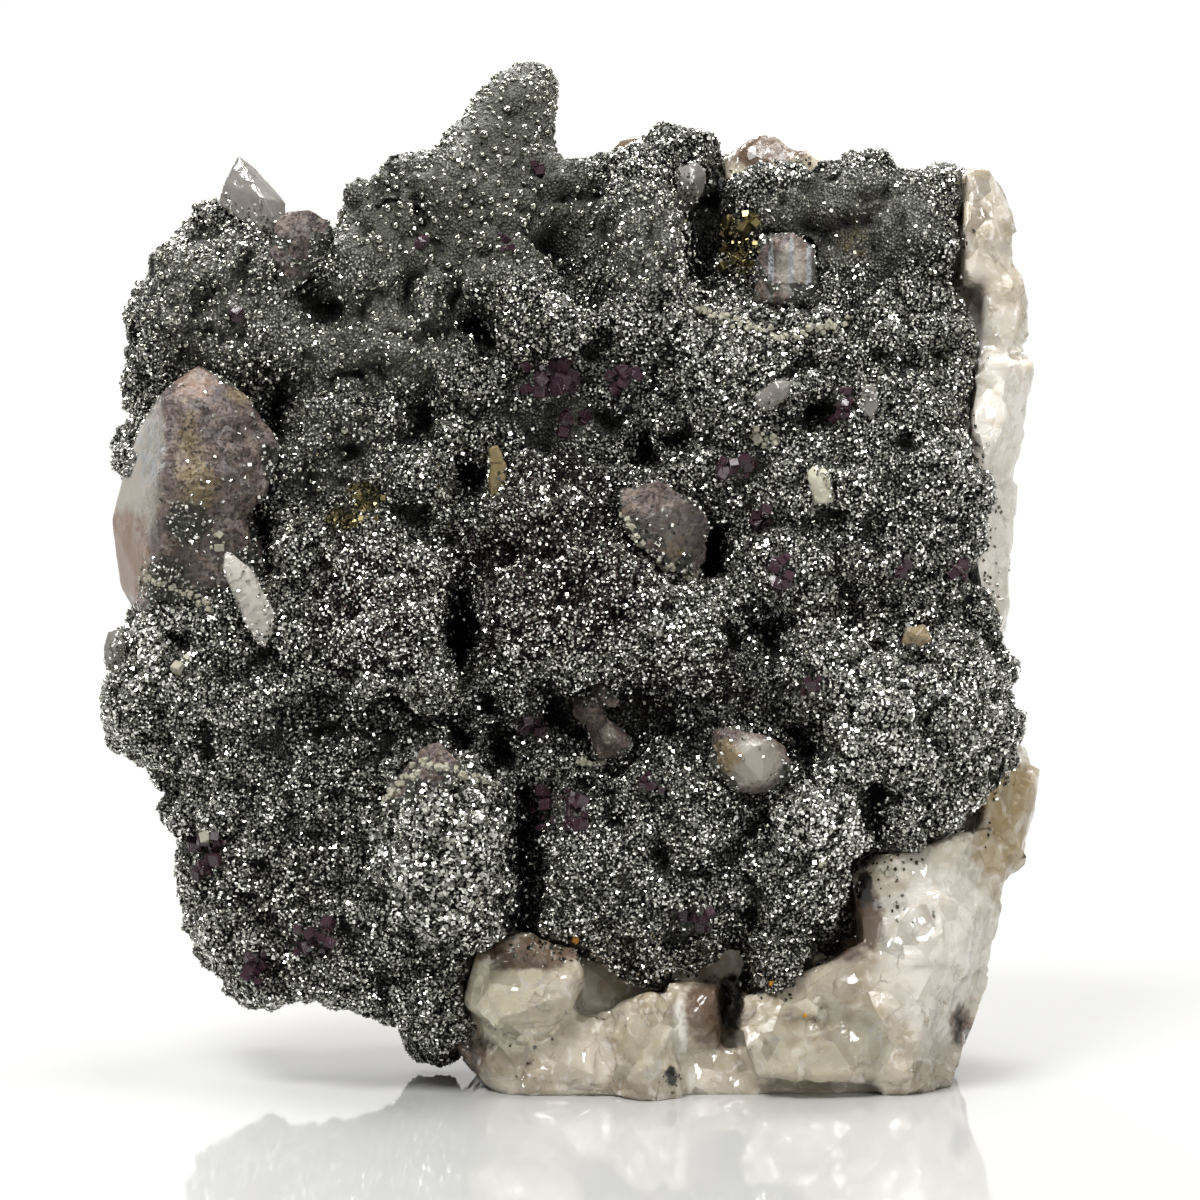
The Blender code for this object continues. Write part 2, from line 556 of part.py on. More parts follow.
def centre_cluster():
    """The striated purple crystal, the dusty one and the thin blade below the middle."""
    centre = (4, 42)
    striated = crystal(centre, [
        (1.8, 42.3, -1), (4.3, 43, 0.4), (7.1, 39.8, 0.6), (6.3, 38.3, 0), (3.2, 38.3, -0.6),
        (4.6, 40.6, 2.4), (2, 42, -6), (7, 40, -6), (4, 38.6, -6),
    ])
    dusty = crystal(centre, [
        (0.3, 46, -2), (2.4, 46.4, -1), (4.1, 43.4, 0.2), (2.4, 42, 0), (0.5, 43.2, -1), (2.3, 44.2, 1.6),
        (0.6, 46, -7), (4, 43, -7), (1, 42.6, -7),
    ])
    blade = crystal(centre, [
        (2.2, 46.4, 0.4), (3.6, 46.7, 0.6), (5.7, 44.8, 1.8), (5.2, 43.9, 1.6), (3.6, 44.6, 1.2),
        (2.4, 45.6, -6), (5, 44, -6), (4, 46, -6),
    ])
    return [striated, dusty, blade]


def crystal_parts():
    """The parts of each crystal that stands on the crust, those that lie on others last."""
    top_left = crystal((-29, 95), [
        (-32, 98.4, 1), (-30.4, 99.1, 0.6), (-28.2, 98.9, 1), (-26.4, 98, 0), (-25.8, 96, -1),
        (-27.4, 92.8, 1), (-31.2, 90, 2.4), (-33.4, 93.4, 2.6), (-30, 95.4, 3), (-32, 98, -7),
        (-27, 97.4, -7), (-28, 92, -8), (-32.6, 92, -8),
    ])
    point = crystal((-35, 100), [
        (-36.4, 105.2, -1), (-34.9, 104.1, -1.4), (-31.9, 100.8, -1), (-31.2, 99.9, 0), (-31.2, 96, 1.6),
        (-34, 96.4, 2), (-38.6, 99.8, 0), (-38.1, 101.9, 0), (-37.2, 103.7, -0.4), (-33.6, 100.4, 2.4),
        (-37.4, 100, -5), (-32.4, 97, -5), (-35.8, 103.6, -3),
    ])
    top = crystal((13.5, 102), [
        (11.8, 103.6, 1), (14.2, 104.4, 0.6), (15.2, 103.2, 0), (14.9, 101, 0), (13.8, 99.6, 0),
        (12, 100.6, 1), (13.4, 102.2, 2.6), (12, 104, -6), (15, 103, -6), (13, 100, -6),
    ])
    cube = crystal((24, 92), [
        (21.2, 96.4, 1.4), (24.4, 96.6, 2), (27.2, 95.1, 1.6), (27.4, 88.4, 2.6), (20.5, 88.8, 2.2),
        (20.9, 94.6, 1.6), (23.4, 95.2, 3.6), (26.8, 94, 3.2), (26.6, 89.2, 3.8), (21.6, 89.6, 3.4),
        (21.4, 96, -7), (27, 95, -7), (27, 89, -6), (21, 89, -6),
    ])
    blade = crystal((11, 64), [
        (5.6, 68.2, 3.6), (10.2, 69.1, 4.2), (14.1, 66.6, 3), (15.7, 63.8, 0.6), (15.3, 60.4, -0.6),
        (13.4, 58.3, 0), (10.2, 59.8, 3), (7.4, 62.6, 4.6), (5.9, 65.3, 4.6), (9.6, 66, 5.2),
        (7, 67, -6), (14, 66, -6), (13, 60, -6), (8, 62, -6),
    ])
    tan = plate((-8, 69.5), ((-8.9, 72.9), (-7.9, 73.2), (-7, 70.8), (-7.2, 68.2), (-8.7, 66.4)), 3.4, -3.0)
    wedge = crystal((-16, 36), [
        (-20.4, 32.5, 7), (-19.8, 35.3, 7), (-16.5, 39.3, 7), (-14.3, 40.2, 7.4), (-11.4, 36.4, 8.6),
        (-13.2, 34.7, 9.6), (-17.6, 33, 9.4), (-15.4, 37.6, 10.2), (-19, 34, 0), (-15, 39, 0), (-12, 36, 0),
    ])
    lower_cube = crystal((20, 38), [
        (16.3, 41.1, 3.6), (19.3, 41.5, 4.4), (22.8, 40.5, 4.6), (24, 39.6, 4.2), (24.9, 36.7, 3.8),
        (22.8, 34.4, 4), (18.2, 34.6, 4.2), (15.5, 36.7, 3), (16.1, 39.3, 3.6), (21.4, 39.8, 6.6),
        (19, 38.4, 6.4), (21.6, 35.6, 6.4), (17, 40, -3), (24, 39, -3), (22, 35, -3), (17, 36, -3),
    ])
    mound_cube = crystal((38.8, 51.7), [
        (37.4, 52.8, 6.6), (39.6, 53.2, 6.8), (40.3, 51.4, 7.4), (38.6, 50.2, 7.6), (37.2, 51.2, 7),
        (38.8, 52, 8.4), (37.6, 52.6, 1), (40, 52, 1), (38.6, 50.6, 1),
    ])
    edge = crystal((-50.6, 50.4), [
        (-51.7, 50.6, -2), (-51.2, 52.4, -1.6), (-49.9, 52.8, -1.4), (-49.2, 51, -0.8), (-49.6, 48.4, -1),
        (-51.4, 48.2, -1.8), (-50.6, 50.6, 0), (-51, 52, -6), (-49.4, 51.6, -6), (-50.6, 48.4, -6),
    ])
    small_prism = prism((22.5, 78.6), 3.2, 1.3, 0.95, 5.2)
    pink = plate((33.3, 78), ((32.5, 79.6), (33.9, 79.9), (34.4, 77.4), (33.6, 76), (32.3, 77.2)), 6.2, -1.0)
    grain = prism((28, 68.5), 2.9, 0.85, -0.22, 4.6)
    white_plate = crystal((-35.5, 56.5), [
        (-38, 61, 5), (-35.6, 59.2, 4.6), (-34.6, 56.8, 4.4), (-33.2, 54, 3.8), (-33.3, 52.3, 3.4),
        (-34.1, 51.2, 3.4), (-35.3, 53.1, 4), (-36.8, 57, 5.2), (-37.9, 59.2, 5.4), (-36.8, 58.6, 1),
        (-34.4, 54, 0), (-34.6, 57, 0.4),
    ])
    return {
        'fluorite_crystal_left': left_crystal(),
        'fluorite_cluster_centre': centre_cluster(),
        'fluorite_crystal_top_left': [top_left],
        'quartz_point_top_left': [point],
        'quartz_crystal_top': [top],
        'fluorite_cube_top_right': [cube],
        'fluorite_blade_centre': [blade],
        'tan_blade_centre': [tan],
        'fluorite_wedge_lower_left': [wedge],
        'fluorite_cube_lower_right': [lower_cube],
        'fluorite_cube_right_mound': [mound_cube],
        'quartz_crystal_left_edge': [edge],
        'quartz_prism_right': [small_prism],
        'quartz_crystal_pink': [pink],
        'quartz_grain_right': [grain],
        'quartz_plate_left': [white_plate],
    }


def swollen(obj, gap):
    """A copy of a solid whose faces stand out by the gap."""
    bm = bmesh.new()
    bm.from_mesh(obj.data)
    bmesh.ops.recalc_face_normals(bm, faces=bm.faces)
    bm.normal_update()
    moves = [
        vert.normal * gap * MM * min(vert.calc_shell_factor(), SHARPEST_CORNER)
        for vert in bm.verts
    ]
    for vert, move in zip(bm.verts, moves):
        vert.co += move
    return object_from_bmesh('pocket', bm)


def ends(obj):
    """The lowest and highest corner of a solid."""
    points = [vert.co for vert in obj.data.vertices]
    low = Vector([min(point[axis] for point in points) for axis in range(3)])
    high = Vector([max(point[axis] for point in points) for axis in range(3)])
    return low, high


def near(first, second):
    """Whether the boxes of two solids meet."""
    first_low, first_high = ends(first)
    second_low, second_high = ends(second)
    return all(
        first_low[axis] < second_high[axis] and second_low[axis] < first_high[axis]
        for axis in range(3)
    )


def seat(pieces, name, parts):
    """Add the piece made of these convex parts, and cut its pocket out of the pieces before it."""
    room = union('room', [swollen(part, SEAT_GAP) for part in parts])
    piece = union(name, parts)
    for earlier in pieces:
        if near(earlier, room):
            boolean(earlier, room, 'DIFFERENCE')
    bpy.data.objects.remove(room)
    pieces.append(piece)


def keep_largest(obj):
    """Drop the chips that a cut left loose, and keep the biggest connected solid."""
    bm = bmesh.new()
    bm.from_mesh(obj.data)
    bm.verts.ensure_lookup_table()
    unseen = set(bm.verts)
    groups = []
    while unseen:
        group = set()
        waiting = [next(vert for vert in bm.verts if vert in unseen)]
        while waiting:
            vert = waiting.pop()
            if vert in group:
                continue
            group.add(vert)
            waiting.extend(edge.other_vert(vert) for edge in vert.link_edges)
        unseen -= group
        groups.append(group)
    largest = max(groups, key=len)
    loose = [vert for vert in bm.verts if vert not in largest]
    bmesh.ops.delete(bm, geom=loose, context='VERTS')
    bmesh.ops.triangulate(bm, faces=bm.faces)
    bm.to_mesh(obj.data)
    bm.free()


def finish_material(name, colour, roughness, metallic=0.0, transmission=0.0):
    """A Principled material with this colour and finish."""
    material = bpy.data.materials.new(name)
    material.use_nodes = True
    shader = material.node_tree.nodes['Principled BSDF']
    shader.inputs['Base Color'].default_value = (*colour, 1.0)
    shader.inputs['Roughness'].default_value = roughness
    shader.inputs['Metallic'].default_value = metallic
    shader.inputs['Transmission Weight'].default_value = transmission
    return material


def material_for(name):
    """The colour and finish of a piece, from the photo."""
    if name == 'pyrite_crust':
        return finish_material(name, (0.09, 0.088, 0.075), 0.35, metallic=0.8)
    if name == 'quartz_matrix':
        return finish_material(name, (0.5, 0.45, 0.36), 0.25, transmission=0.3)
    if name == 'tan_blade_centre':
        return finish_material(name, (0.3, 0.24, 0.13), 0.4)
    if name.startswith('quartz'):
        return finish_material(name, (0.6, 0.56, 0.52), 0.2, transmission=0.4)
    return finish_material(name, (0.13, 0.1, 0.11), 0.45, transmission=0.1)


def settle(pieces):
    """Put the middle of the underside of the whole specimen at the origin."""
    corners = [ends(piece) for piece in pieces]
    low = Vector([min(corner[0][axis] for corner in corners) for axis in range(3)])
    high = Vector([max(corner[1][axis] for corner in corners) for axis in range(3)])
    middle = (low + high) / 2
    for piece in pieces:
        piece.location = (-middle.x, -middle.y, -low.z)
    print('moved by, in millimetres:', -middle.x / MM, -middle.y / MM, -low.z / MM)
    print('size, in millimetres:', (high - low) / MM)


def main():
    """Build the specimen in an empty scene."""
    for obj in list(bpy.data.objects):
        bpy.data.objects.remove(obj)
    pieces = [build_crust()]
    seat(pieces, 'quartz_matrix', matrix_parts())
    cut_flat(pieces[-1])
    for name, parts in crystal_parts().items():
        seat(pieces, name, parts)
    for piece in pieces:
        keep_largest(piece)
        piece.data.materials.clear()
        piece.data.materials.append(material_for(piece.name))
        print(piece.name, len(piece.data.polygons), 'triangles')
    settle(pieces)


main()
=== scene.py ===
"""Fluorite with quartz and pyrite: the looks of the specimen and the plain studio it stands in.

The specimen is a dark druse of very small pyrite crystals over pale broken quartz, with dusty purple-brown
fluorite standing through it. Places on it are given as the viewer sees them: x to the right and z up, in
millimetres on the upright plane through its middle. Lengths in the mesh itself are metres.
"""

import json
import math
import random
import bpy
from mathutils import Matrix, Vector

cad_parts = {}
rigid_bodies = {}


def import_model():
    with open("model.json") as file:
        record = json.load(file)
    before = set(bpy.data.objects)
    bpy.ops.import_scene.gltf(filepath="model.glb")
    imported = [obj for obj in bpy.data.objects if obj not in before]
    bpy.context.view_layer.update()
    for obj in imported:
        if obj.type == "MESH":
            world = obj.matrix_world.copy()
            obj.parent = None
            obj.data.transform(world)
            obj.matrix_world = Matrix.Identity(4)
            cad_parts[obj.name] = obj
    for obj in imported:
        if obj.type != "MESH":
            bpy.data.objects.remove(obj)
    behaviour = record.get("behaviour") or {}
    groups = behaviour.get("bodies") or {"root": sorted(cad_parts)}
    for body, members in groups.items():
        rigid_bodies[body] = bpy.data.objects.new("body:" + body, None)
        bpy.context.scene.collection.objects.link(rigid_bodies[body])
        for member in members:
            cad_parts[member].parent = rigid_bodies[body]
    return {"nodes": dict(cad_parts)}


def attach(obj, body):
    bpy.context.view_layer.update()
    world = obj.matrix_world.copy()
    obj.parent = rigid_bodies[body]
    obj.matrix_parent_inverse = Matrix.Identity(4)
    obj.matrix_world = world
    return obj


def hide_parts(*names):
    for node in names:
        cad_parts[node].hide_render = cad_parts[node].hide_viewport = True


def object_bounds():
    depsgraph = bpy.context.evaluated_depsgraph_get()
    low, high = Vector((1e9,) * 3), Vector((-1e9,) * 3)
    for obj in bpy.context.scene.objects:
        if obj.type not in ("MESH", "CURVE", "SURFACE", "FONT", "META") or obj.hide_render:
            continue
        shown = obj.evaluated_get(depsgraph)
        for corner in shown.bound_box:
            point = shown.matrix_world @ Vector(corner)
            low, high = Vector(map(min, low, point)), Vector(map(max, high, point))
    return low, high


bl_info = {
    'name': 'Fluorite with quartz and pyrite',
    'version': (1, 0, 0),
    'blender': (4, 5, 0),
    'location': 'View3D > Sidebar > Specimen',
    'description': 'Makes a mineral specimen of fluorite, quartz and pyrite over its CAD frame',
    'category': 'Object',
}

import bmesh
import bpy
import numpy as np
from mathutils import Euler, Vector, noise
from mathutils.bvhtree import BVHTree

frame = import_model()
CAD_BOX = [list(corner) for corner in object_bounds()]

MM = 0.001

# The viewer: how far away and how high, and where the CAD frame put the middle of the specimen
VIEW_DISTANCE = 600.0
VIEW_HEIGHT = 110.0
FRAME_SHIFT = np.array((0.0198, -2.2735, -2.5667))
AIM = (3.5, 55.9)
LENS = 162.65

# Width of the tiny crystal faces on the ground of the druse, in millimetres
FACE_SIZE = 0.36

# The seed of the noise that shapes facets and bends, which would otherwise come from the clock
NOISE_SEED = 7

# Colours, sRGB
# Near-black painted shade for the gaps between the druse's tiny faces and for its hollows
DRUSE_PAINTED_SHADE = '#080807'
DRUSE_DARK = '#393a32'
DRUSE_OLIVE = '#5a5b4d'
DRUSE_WARM = '#4c4140'
DRUSE_GOLD = '#625a38'
PYRITE_BRIGHT = '#fdfcf8'
PYRITE_GREY = '#c4c4bb'
PYRITE_DARK = '#64645c'
PYRITE_GOLD = '#807551'
BEAD_GREY = '#8d8d82'
QUARTZ_CLEAR = '#e4dabf'
QUARTZ_PALE = '#a99b81'
QUARTZ_WHITE = '#d0c6b4'
QUARTZ_BRIGHT = '#e2dbd0'
QUARTZ_VEIN = '#94836a'
QUARTZ_TAN = '#a08a5f'
QUARTZ_BROWN = '#6f5a48'
QUARTZ_DARK_PATCH = '#1d1a16'
FLUORITE_PURPLE = '#574d4f'
FLUORITE_BROWN = '#7a6b5f'
FLUORITE_PALE = '#9c958a'
FLUORITE_PINK = '#866f60'
FLUORITE_STREAK = '#8f9292'
FLUORITE_TAN = '#85765a'
FLUORITE_SHADE = '#2c2426'
FLUORITE_DEEP = '#432e37'
CLEAR_QUARTZ = '#a8a29b'
PALE_DRUSE = '#c9c4ae'
PALE_GRAIN = '#e6e0c8'
TAN_BLADE = '#7d6d48'
WHITE_CALCITE = '#c6c0b5'
ORANGE_CRUMB = '#c98a2b'
LINT = '#b9b6ac'
TABLE_WHITE = '#b4b4b2'
SWEEP_WHITE = '#f4f3f1'

# How brightly the lit sweep behind the table shines
SWEEP_GLOW = 1.15

# Zones of the surface, each x, z, half width, half height and strength
THIN_ZONES = (
    (-7, 108, 7, 10, 0.96), (-14, 98, 16, 9, 0.94), (-3, 99, 9, 8, 0.94), (8, 96, 6, 8, 0.75),
    (-40, 89, 10, 12, 0.7), (-22, 86, 16, 9, 0.75), (14, 100, 4, 6, 0.8), (31, 98, 13, 7, 0.8),
    (-1, 76, 9, 5, 0.6), (3, 43, 9, 4, 0.6), (-27, 73, 12, 8, 0.6), (10, 24, 13, 9, 0.35),
    (-28, 40, 12, 3, 0.4), (21, 47, 6, 4, 0.4), (28, 72, 16, 10, 0.35), (27, 14, 6, 5, 0.4),
)
BRIGHT_ZONES = (
    (-14, 28, 8, 10, 0.35), (-30, 30, 16, 15, 0.3), (28, 31, 7, 6, 1.1), (37, 41, 11, 11, 0.6),
    (9, 24, 11, 9, 1.0), (25, 70, 14, 10, 0.7), (8, 90, 7, 8, 0.6), (-22, 80, 10, 8, 0.9),
    (3, 53, 12, 8, 0.8), (-21, 54, 8, 10, 0.7), (-40, 88, 8, 9, 1.0), (36, 67, 10, 9, 1.2),
    (-47, 52, 5, 6, 0.7), (26, 85, 13, 5, 0.8), (-28, 14, 14, 4, 0.4),
    (36, 53, 6, 5, 0.8), (20, 60, 8, 8, 0.6),
)
COARSE_ZONES = (
    (-14, 28, 9, 11, 1.0), (28, 31, 7, 6, 0.7), (38, 41, 11, 11, 0.4), (-47, 52, 6, 7, 0.8),
    (-36, 20, 8, 8, 0.3),
)
BEAD_ZONES = (
    (-7, 108, 7, 9, 0.8), (-14, 98, 14, 8, 0.9), (-2, 98, 7, 7, 0.5), (8, 96, 7, 9, 1.0),
    (-40, 89, 10, 12, 1.0), (-22, 88, 13, 9, 0.7), (-8, 88, 8, 7, 0.9), (-24, 76, 10, 7, 0.35),
    (-30, 67, 8, 6, 0.4),
)
WARM_ZONES = (
    (-2, 58, 14, 10, 0.9), (-22, 55, 9, 10, 0.7), (12, 47, 12, 6, 0.5), (-37, 27, 6, 8, 0.4),
    (30, 56, 10, 8, 0.4), (-2, 67, 8, 6, 0.9), (31, 97, 7, 5, 0.4), (-36, 20, 15, 14, 0.45),
)
GOLD_ZONES = (
    (-25, 65, 2.6, 1.8, 0.75), (-22.5, 67.5, 2.2, 2.2, 0.75), (19, 95, 2.2, 4.0, 0.7), (8, 27, 7, 7, 0.2),
    (31.5, 95.5, 2.5, 3.5, 0.45), (12, 30, 6, 4, 0.25),
)
TAN_ZONES = (
    (-42.0, 72, 2.2, 7.0, 0.55), (-41.0, 68.5, 2.4, 3.4, 0.8), (-36.5, 79.0, 2.0, 1.6, 0.6), (17.4, 38.2, 2.2, 2.4, 0.7),
    (38.8, 51.8, 2, 2, 0.8), (-35.3, 101.5, 1.2, 1.4, 0.5), (12.0, 60.8, 2.4, 2.0, 0.5),
)
PALE_ZONES = (
    (-49.2, 71, 4.2, 11, 1.0), (-46.0, 74, 1.6, 6, 0.7), (24.6, 92.6, 2.2, 3.8, 0.62),
    (20.6, 37.8, 3.4, 3.0, 1.0), (11.0, 64.4, 3.2, 3.4, 0.4), (38.8, 51.8, 2, 2, 0.6), (4.4, 41, 1.2, 1.6, 0.5),
)
PINK_ZONES = (
    (-49.4, 60.0, 3.4, 6.4, 1.0), (-41.5, 80.0, 3.2, 2.4, 0.6), (5.5, 68.0, 3.0, 3.0, 0.3),
)
STREAK_ZONES = (
    (-46.4, 73.0, 2.0, 6.0, 0.5), (22.4, 92.4, 0.4, 4.0, 0.9), (24.6, 92.8, 0.35, 4.0, 0.9), (26.6, 92.2, 0.4, 4.0, 0.9),
)
CLEAR_ZONES = (
    (-6.5, 10.5, 7, 6, 0.9), (28, 6.5, 9, 5, 0.8), (28.2, 23.5, 4.4, 4.4, 0.9), (9.5, 6, 4, 6, 0.5),
    (20, 104, 6, 3, 0.5),
)
WHITE_ZONES = (
    (46, 72, 6, 18, 0.95), (41, 17, 8, 13, 0.75), (48, 44, 4, 14, 0.6), (45, 95, 5, 9, 0.35),
    (12.5, 8, 0.9, 5, 0.8), (-1.5, 12.5, 5, 1.6, 0.45),
)
FLANK_TAN_ZONES = (
    (49.5, 33, 4, 7, 0.8), (47.2, 28, 3, 3, 0.7), (28, 8, 8, 4, 0.35), (47.5, 78, 3, 4, 0.25),
)
BASE_BROWN_ZONES = (
    (16, 9.5, 3.4, 4.2, 0.9), (33.5, 20, 2.0, 4.0, 0.8), (-11, 5, 3, 3, 0.7), (31, 17, 3.2, 2.4, 0.7),
    (-5, 16.2, 6.5, 2.0, 0.9), (21, 106, 6, 3, 0.8), (33, 104, 5, 3, 0.7), (7, 106, 4, 2, 0.6), (3, 18, 10, 1.6, 0.5),
    (44, 8, 1.4, 3.0, 0.8),
)
# Near-black patches on the quartz base
DARK_PATCH_ZONES = (
    (18.2, 10.5, 1.6, 3.8, 1.0), (11.5, 2.4, 0.7, 1.3, 0.9), (33.0, 23.5, 1.2, 2.2, 0.9), (43.6, 8, 0.5, 3, 0.7),
)
SPECKLE_ZONES = (
    (37, 21.5, 3.5, 2.5, 0.15), (-6, 5, 5, 3, 0.05), (34, 26.5, 5, 1.6, 0.4), (46, 33, 2, 4, 0.1),
    (47, 62, 2, 7, 0.12), (3, 17, 11, 1.6, 0.5), (11.5, 2.4, 0.8, 1.5, 0.8),
)
DUST_ZONES = (
    (-42.2, 64.5, 2.8, 2.4, 1.0), (-44.5, 57.5, 3.0, 3.4, 1.0), (-40.5, 54.5, 3.6, 3.4, 1.0),
    (-36.5, 51, 3.6, 3.4, 1.0), (-37.5, 68, 7, 14, 0.12), (-37, 60, 3, 3, 0.3),
    (4.6, 68, 1.6, 3.4, 0.9), (6.6, 63, 1.8, 2.6, 0.9), (9.5, 60.2, 2.4, 1.2, 0.8), (9, 71.2, 3.4, 1.0, 0.7),
    (9, 65, 4, 4, 0.25), (15.6, 36.5, 1.2, 3, 0.8), (21, 41.8, 4, 0.9, 0.7), (24, 36, 1, 3, 0.6),
    (-16, 36, 5, 4, 0.2), (20, 38, 5, 4, 0.12), (-33, 91, 3, 3, 0.3),
)

# Clusters of small fluorite cubes: x, z, half width, half height, how many, edge length
PURPLE_CLUSTERS = (
    (-1.8, 80.8, 3.0, 1.7, 27, 1.35), (6.3, 80.3, 1.8, 1.2, 16, 1.17), (18.6, 70.6, 2.0, 0.9, 14, 1.17),
    (21.5, 64.8, 0.9, 1.2, 7, 1.08), (23.2, 59.0, 1.4, 2.0, 13, 1.17), (-3.2, 103.9, 0.7, 0.8, 4, 1.08),
    (-37.0, 87.6, 0.8, 0.7, 5, 1.08), (-16.5, 95.3, 1.1, 0.7, 5, 1.08), (30.3, 77.6, 1.2, 1.8, 13, 1.17),
    (-1.2, 32.5, 3.0, 2.2, 25, 1.26), (-40.2, 27.4, 1.8, 2.4, 18, 1.26), (-35.0, 14.7, 1.2, 1.6, 11, 1.17),
    (-28.8, 17.8, 2.2, 1.9, 14, 1.17), (43.8, 59.2, 1.4, 1.1, 9, 0.99), (36.8, 59.6, 0.7, 0.8, 5, 0.9),
    (0.6, 76.0, 1.2, 1.4, 9, 1.08), (27.0, 46.0, 1.4, 1.2, 7, 1.08), (-4.0, 41.5, 1.6, 1.2, 9, 1.08),
    (14.0, 20.0, 1.8, 1.4, 9, 1.08), (-7.0, 95.6, 0.8, 0.8, 4, 0.99), (9.0, 35.5, 1.4, 1.0, 7, 0.99),
)
PALE_CLUSTERS = (
    (-43.0, 49.0, 0.7, 0.8, 3, 1.1), (-40.8, 29.8, 0.6, 0.6, 2, 1.1), (21.8, 73.9, 1.1, 1.0, 8, 0.9),
    (-39.0, 62.4, 0.7, 0.9, 6, 0.7), (2.3, 37.8, 1.6, 0.4, 7, 0.6), (28.0, 26.0, 0.5, 0.5, 2, 1.0),
    (20.0, 74.6, 0.8, 0.8, 4, 0.8),
    (35.6, 25.2, 0.5, 0.8, 3, 0.8),
)
PALE_RIMS = (
    ((6.3, 65.3), (7.4, 62.6), (9.6, 60.1), (12.4, 58.7), (15.2, 58.7)),
    ((14.6, 88.1), (19.1, 86.4), (23.5, 85.3), (27.9, 85.9), (31.3, 87.2)),
    ((-47.1, 58.7), (-43.2, 57.0), (-39.3, 54.8)),
    ((-20.4, 33.7), (-16.5, 37.6), (-12.6, 37.0), (-7.6, 34.8)),
)
GOLD_CLUSTERS = (
    (18.9, 95.6, 1.8, 3.0, 22, 1.0), (-22.5, 66.5, 2.6, 2.2, 10, 0.7),
)
CRUMBS = ((0.7, 17.8, 0.5), (22.7, 12.8, 0.35), (26.4, 9.2, 0.3))
LINT_THREADS = (
    ((9.6, 14.2), (11.4, 14.6), (13.6, 14.1)),
    ((12.2, 18.1), (12.6, 14.0), (12.4, 9.3)),
)

# Thin parts of the crust with less relief
SLIM_ZONES = ((-12, 111, 7, 8, 0.75), (-3.5, 113.5, 4, 5, 0.95))

# Clefts and pits that go deeper than those of the CAD: x, z, half width, half height, depth
PITS = (
    (15.0, 95.2, 1.8, 5.5, 6.0), (-9.8, 86.1, 1.6, 2.4, 5.0), (-26.7, 87.9, 1.5, 1.6, 3.5),
    (-32.9, 75.4, 1.4, 3.5, 4.5), (-16.6, 76.0, 1.4, 2.2, 4.0), (-10.4, 69.5, 1.6, 1.6, 4.0),
    (-34.7, 61.2, 1.4, 3.5, 4.0), (-11.9, 51.4, 1.8, 4.6, 7.0), (27.2, 76.6, 1.8, 1.4, 3.5),
    (15.9, 62.4, 1.2, 3.4, 4.5), (-4.5, 25.6, 1.7, 7.0, 6.0), (34.3, 31.9, 1.5, 3.6, 4.5),
    (-8.9, 44.3, 1.8, 1.6, 3.0), (-16.6, 98.2, 1.4, 1.8, 3.0), (-0.9, 94.1, 1.4, 3.6, 4.0),
    (26.6, 39.0, 1.8, 1.6, 3.5), (12.2, 73.7, 1.6, 1.5, 3.0), (4.4, 75.4, 1.8, 1.5, 3.0),
    (18.4, 11.4, 2.0, 4.6, 5.0), (-35.6, 92.5, 1.4, 1.6, 2.5), (23.0, 52.0, 1.4, 3.0, 2.5),
    (4.6, 33.0, 1.2, 3.0, 3.0), (11.8, 17.4, 1.6, 2.6, 3.0), (8.6, 72.2, 1.4, 2.4, 3.5),
    (-24.3, 72.6, 1.6, 1.4, 2.5), (-7.6, 38.6, 1.4, 2.4, 3.5), (-1.5, 44.2, 1.0, 2.4, 3.0),
    (-27.6, 41.4, 2.0, 1.2, 2.5), (-12.4, 40.0, 1.2, 2.0, 3.0), (2.4, 34.8, 1.4, 1.6, 3.0),
    (-43.2, 50.9, 1.2, 1.2, 2.0), (-25.4, 19.2, 1.0, 1.6, 2.5), (26.8, 92.5, 0.9, 3.4, 3.0),
    (28.0, 102.5, 1.4, 1.6, 2.0), (-19.5, 102.0, 1.0, 4.0, 2.5), (-17.5, 90.5, 1.2, 2.6, 2.5),
    (-24.0, 81.0, 3.0, 1.0, 2.0), (-6.6, 20.8, 1.6, 2.4, 3.5), (-40.0, 40.0, 1.0, 2.2, 1.6),
    (17.4, 51.5, 1.0, 3.4, 2.0), (10.6, 27.0, 1.0, 3.0, 2.2), (20.5, 22.0, 1.0, 3.4, 2.4),
)

# Lumps that stand out more than those of the CAD
LUMPS = (
    (-31.5, 45.2, 4.0, 3.0, 2.4), (-22.5, 44.6, 3.6, 3.0, 2.8), (-15.8, 45.4, 2.6, 2.6, 2.4), (3.5, 44.4, 2.6, 2.2, 2.2),
    (22.6, 103.4, 2.8, 2.4, 1.6), (31.6, 101.0, 3.0, 3.0, 2.0), (38.0, 98.6, 3.2, 4.0, 2.4), (31.0, 94.0, 2.6, 2.0, 1.4),
    (38.4, 91.6, 3.4, 2.4, 1.8), (-20.0, 85.0, 3.6, 2.8, 1.6), (-11.0, 80.6, 3.6, 2.6, 1.8), (0.4, 87.0, 3.4, 2.8, 1.6),
    (14.4, 81.0, 4.0, 3.0, 1.8), (-27.0, 78.0, 3.6, 3.0, 1.6), (-19.6, 70.0, 3.0, 3.4, 1.4), (31.6, 70.0, 4.0, 3.6, 1.6),
    (40.0, 75.0, 3.2, 3.8, 1.6), (30.0, 59.6, 3.6, 3.2, 1.4), (42.0, 47.0, 3.4, 3.0, 1.4), (9.4, 50.4, 5.0, 4.0, 1.4),
    (-4.0, 63.6, 4.0, 3.2, 1.4), (3.6, 26.6, 3.8, 3.4, 1.6), (15.2, 28.6, 2.6, 3.2, 1.6), (14.0, 36.4, 2.8, 2.2, 1.2),
    (-38.6, 35.6, 4.0, 3.4, 1.2), (-26.0, 12.6, 4.4, 2.6, 1.2), (-40.6, 92.6, 3.2, 3.6, 1.4),
)


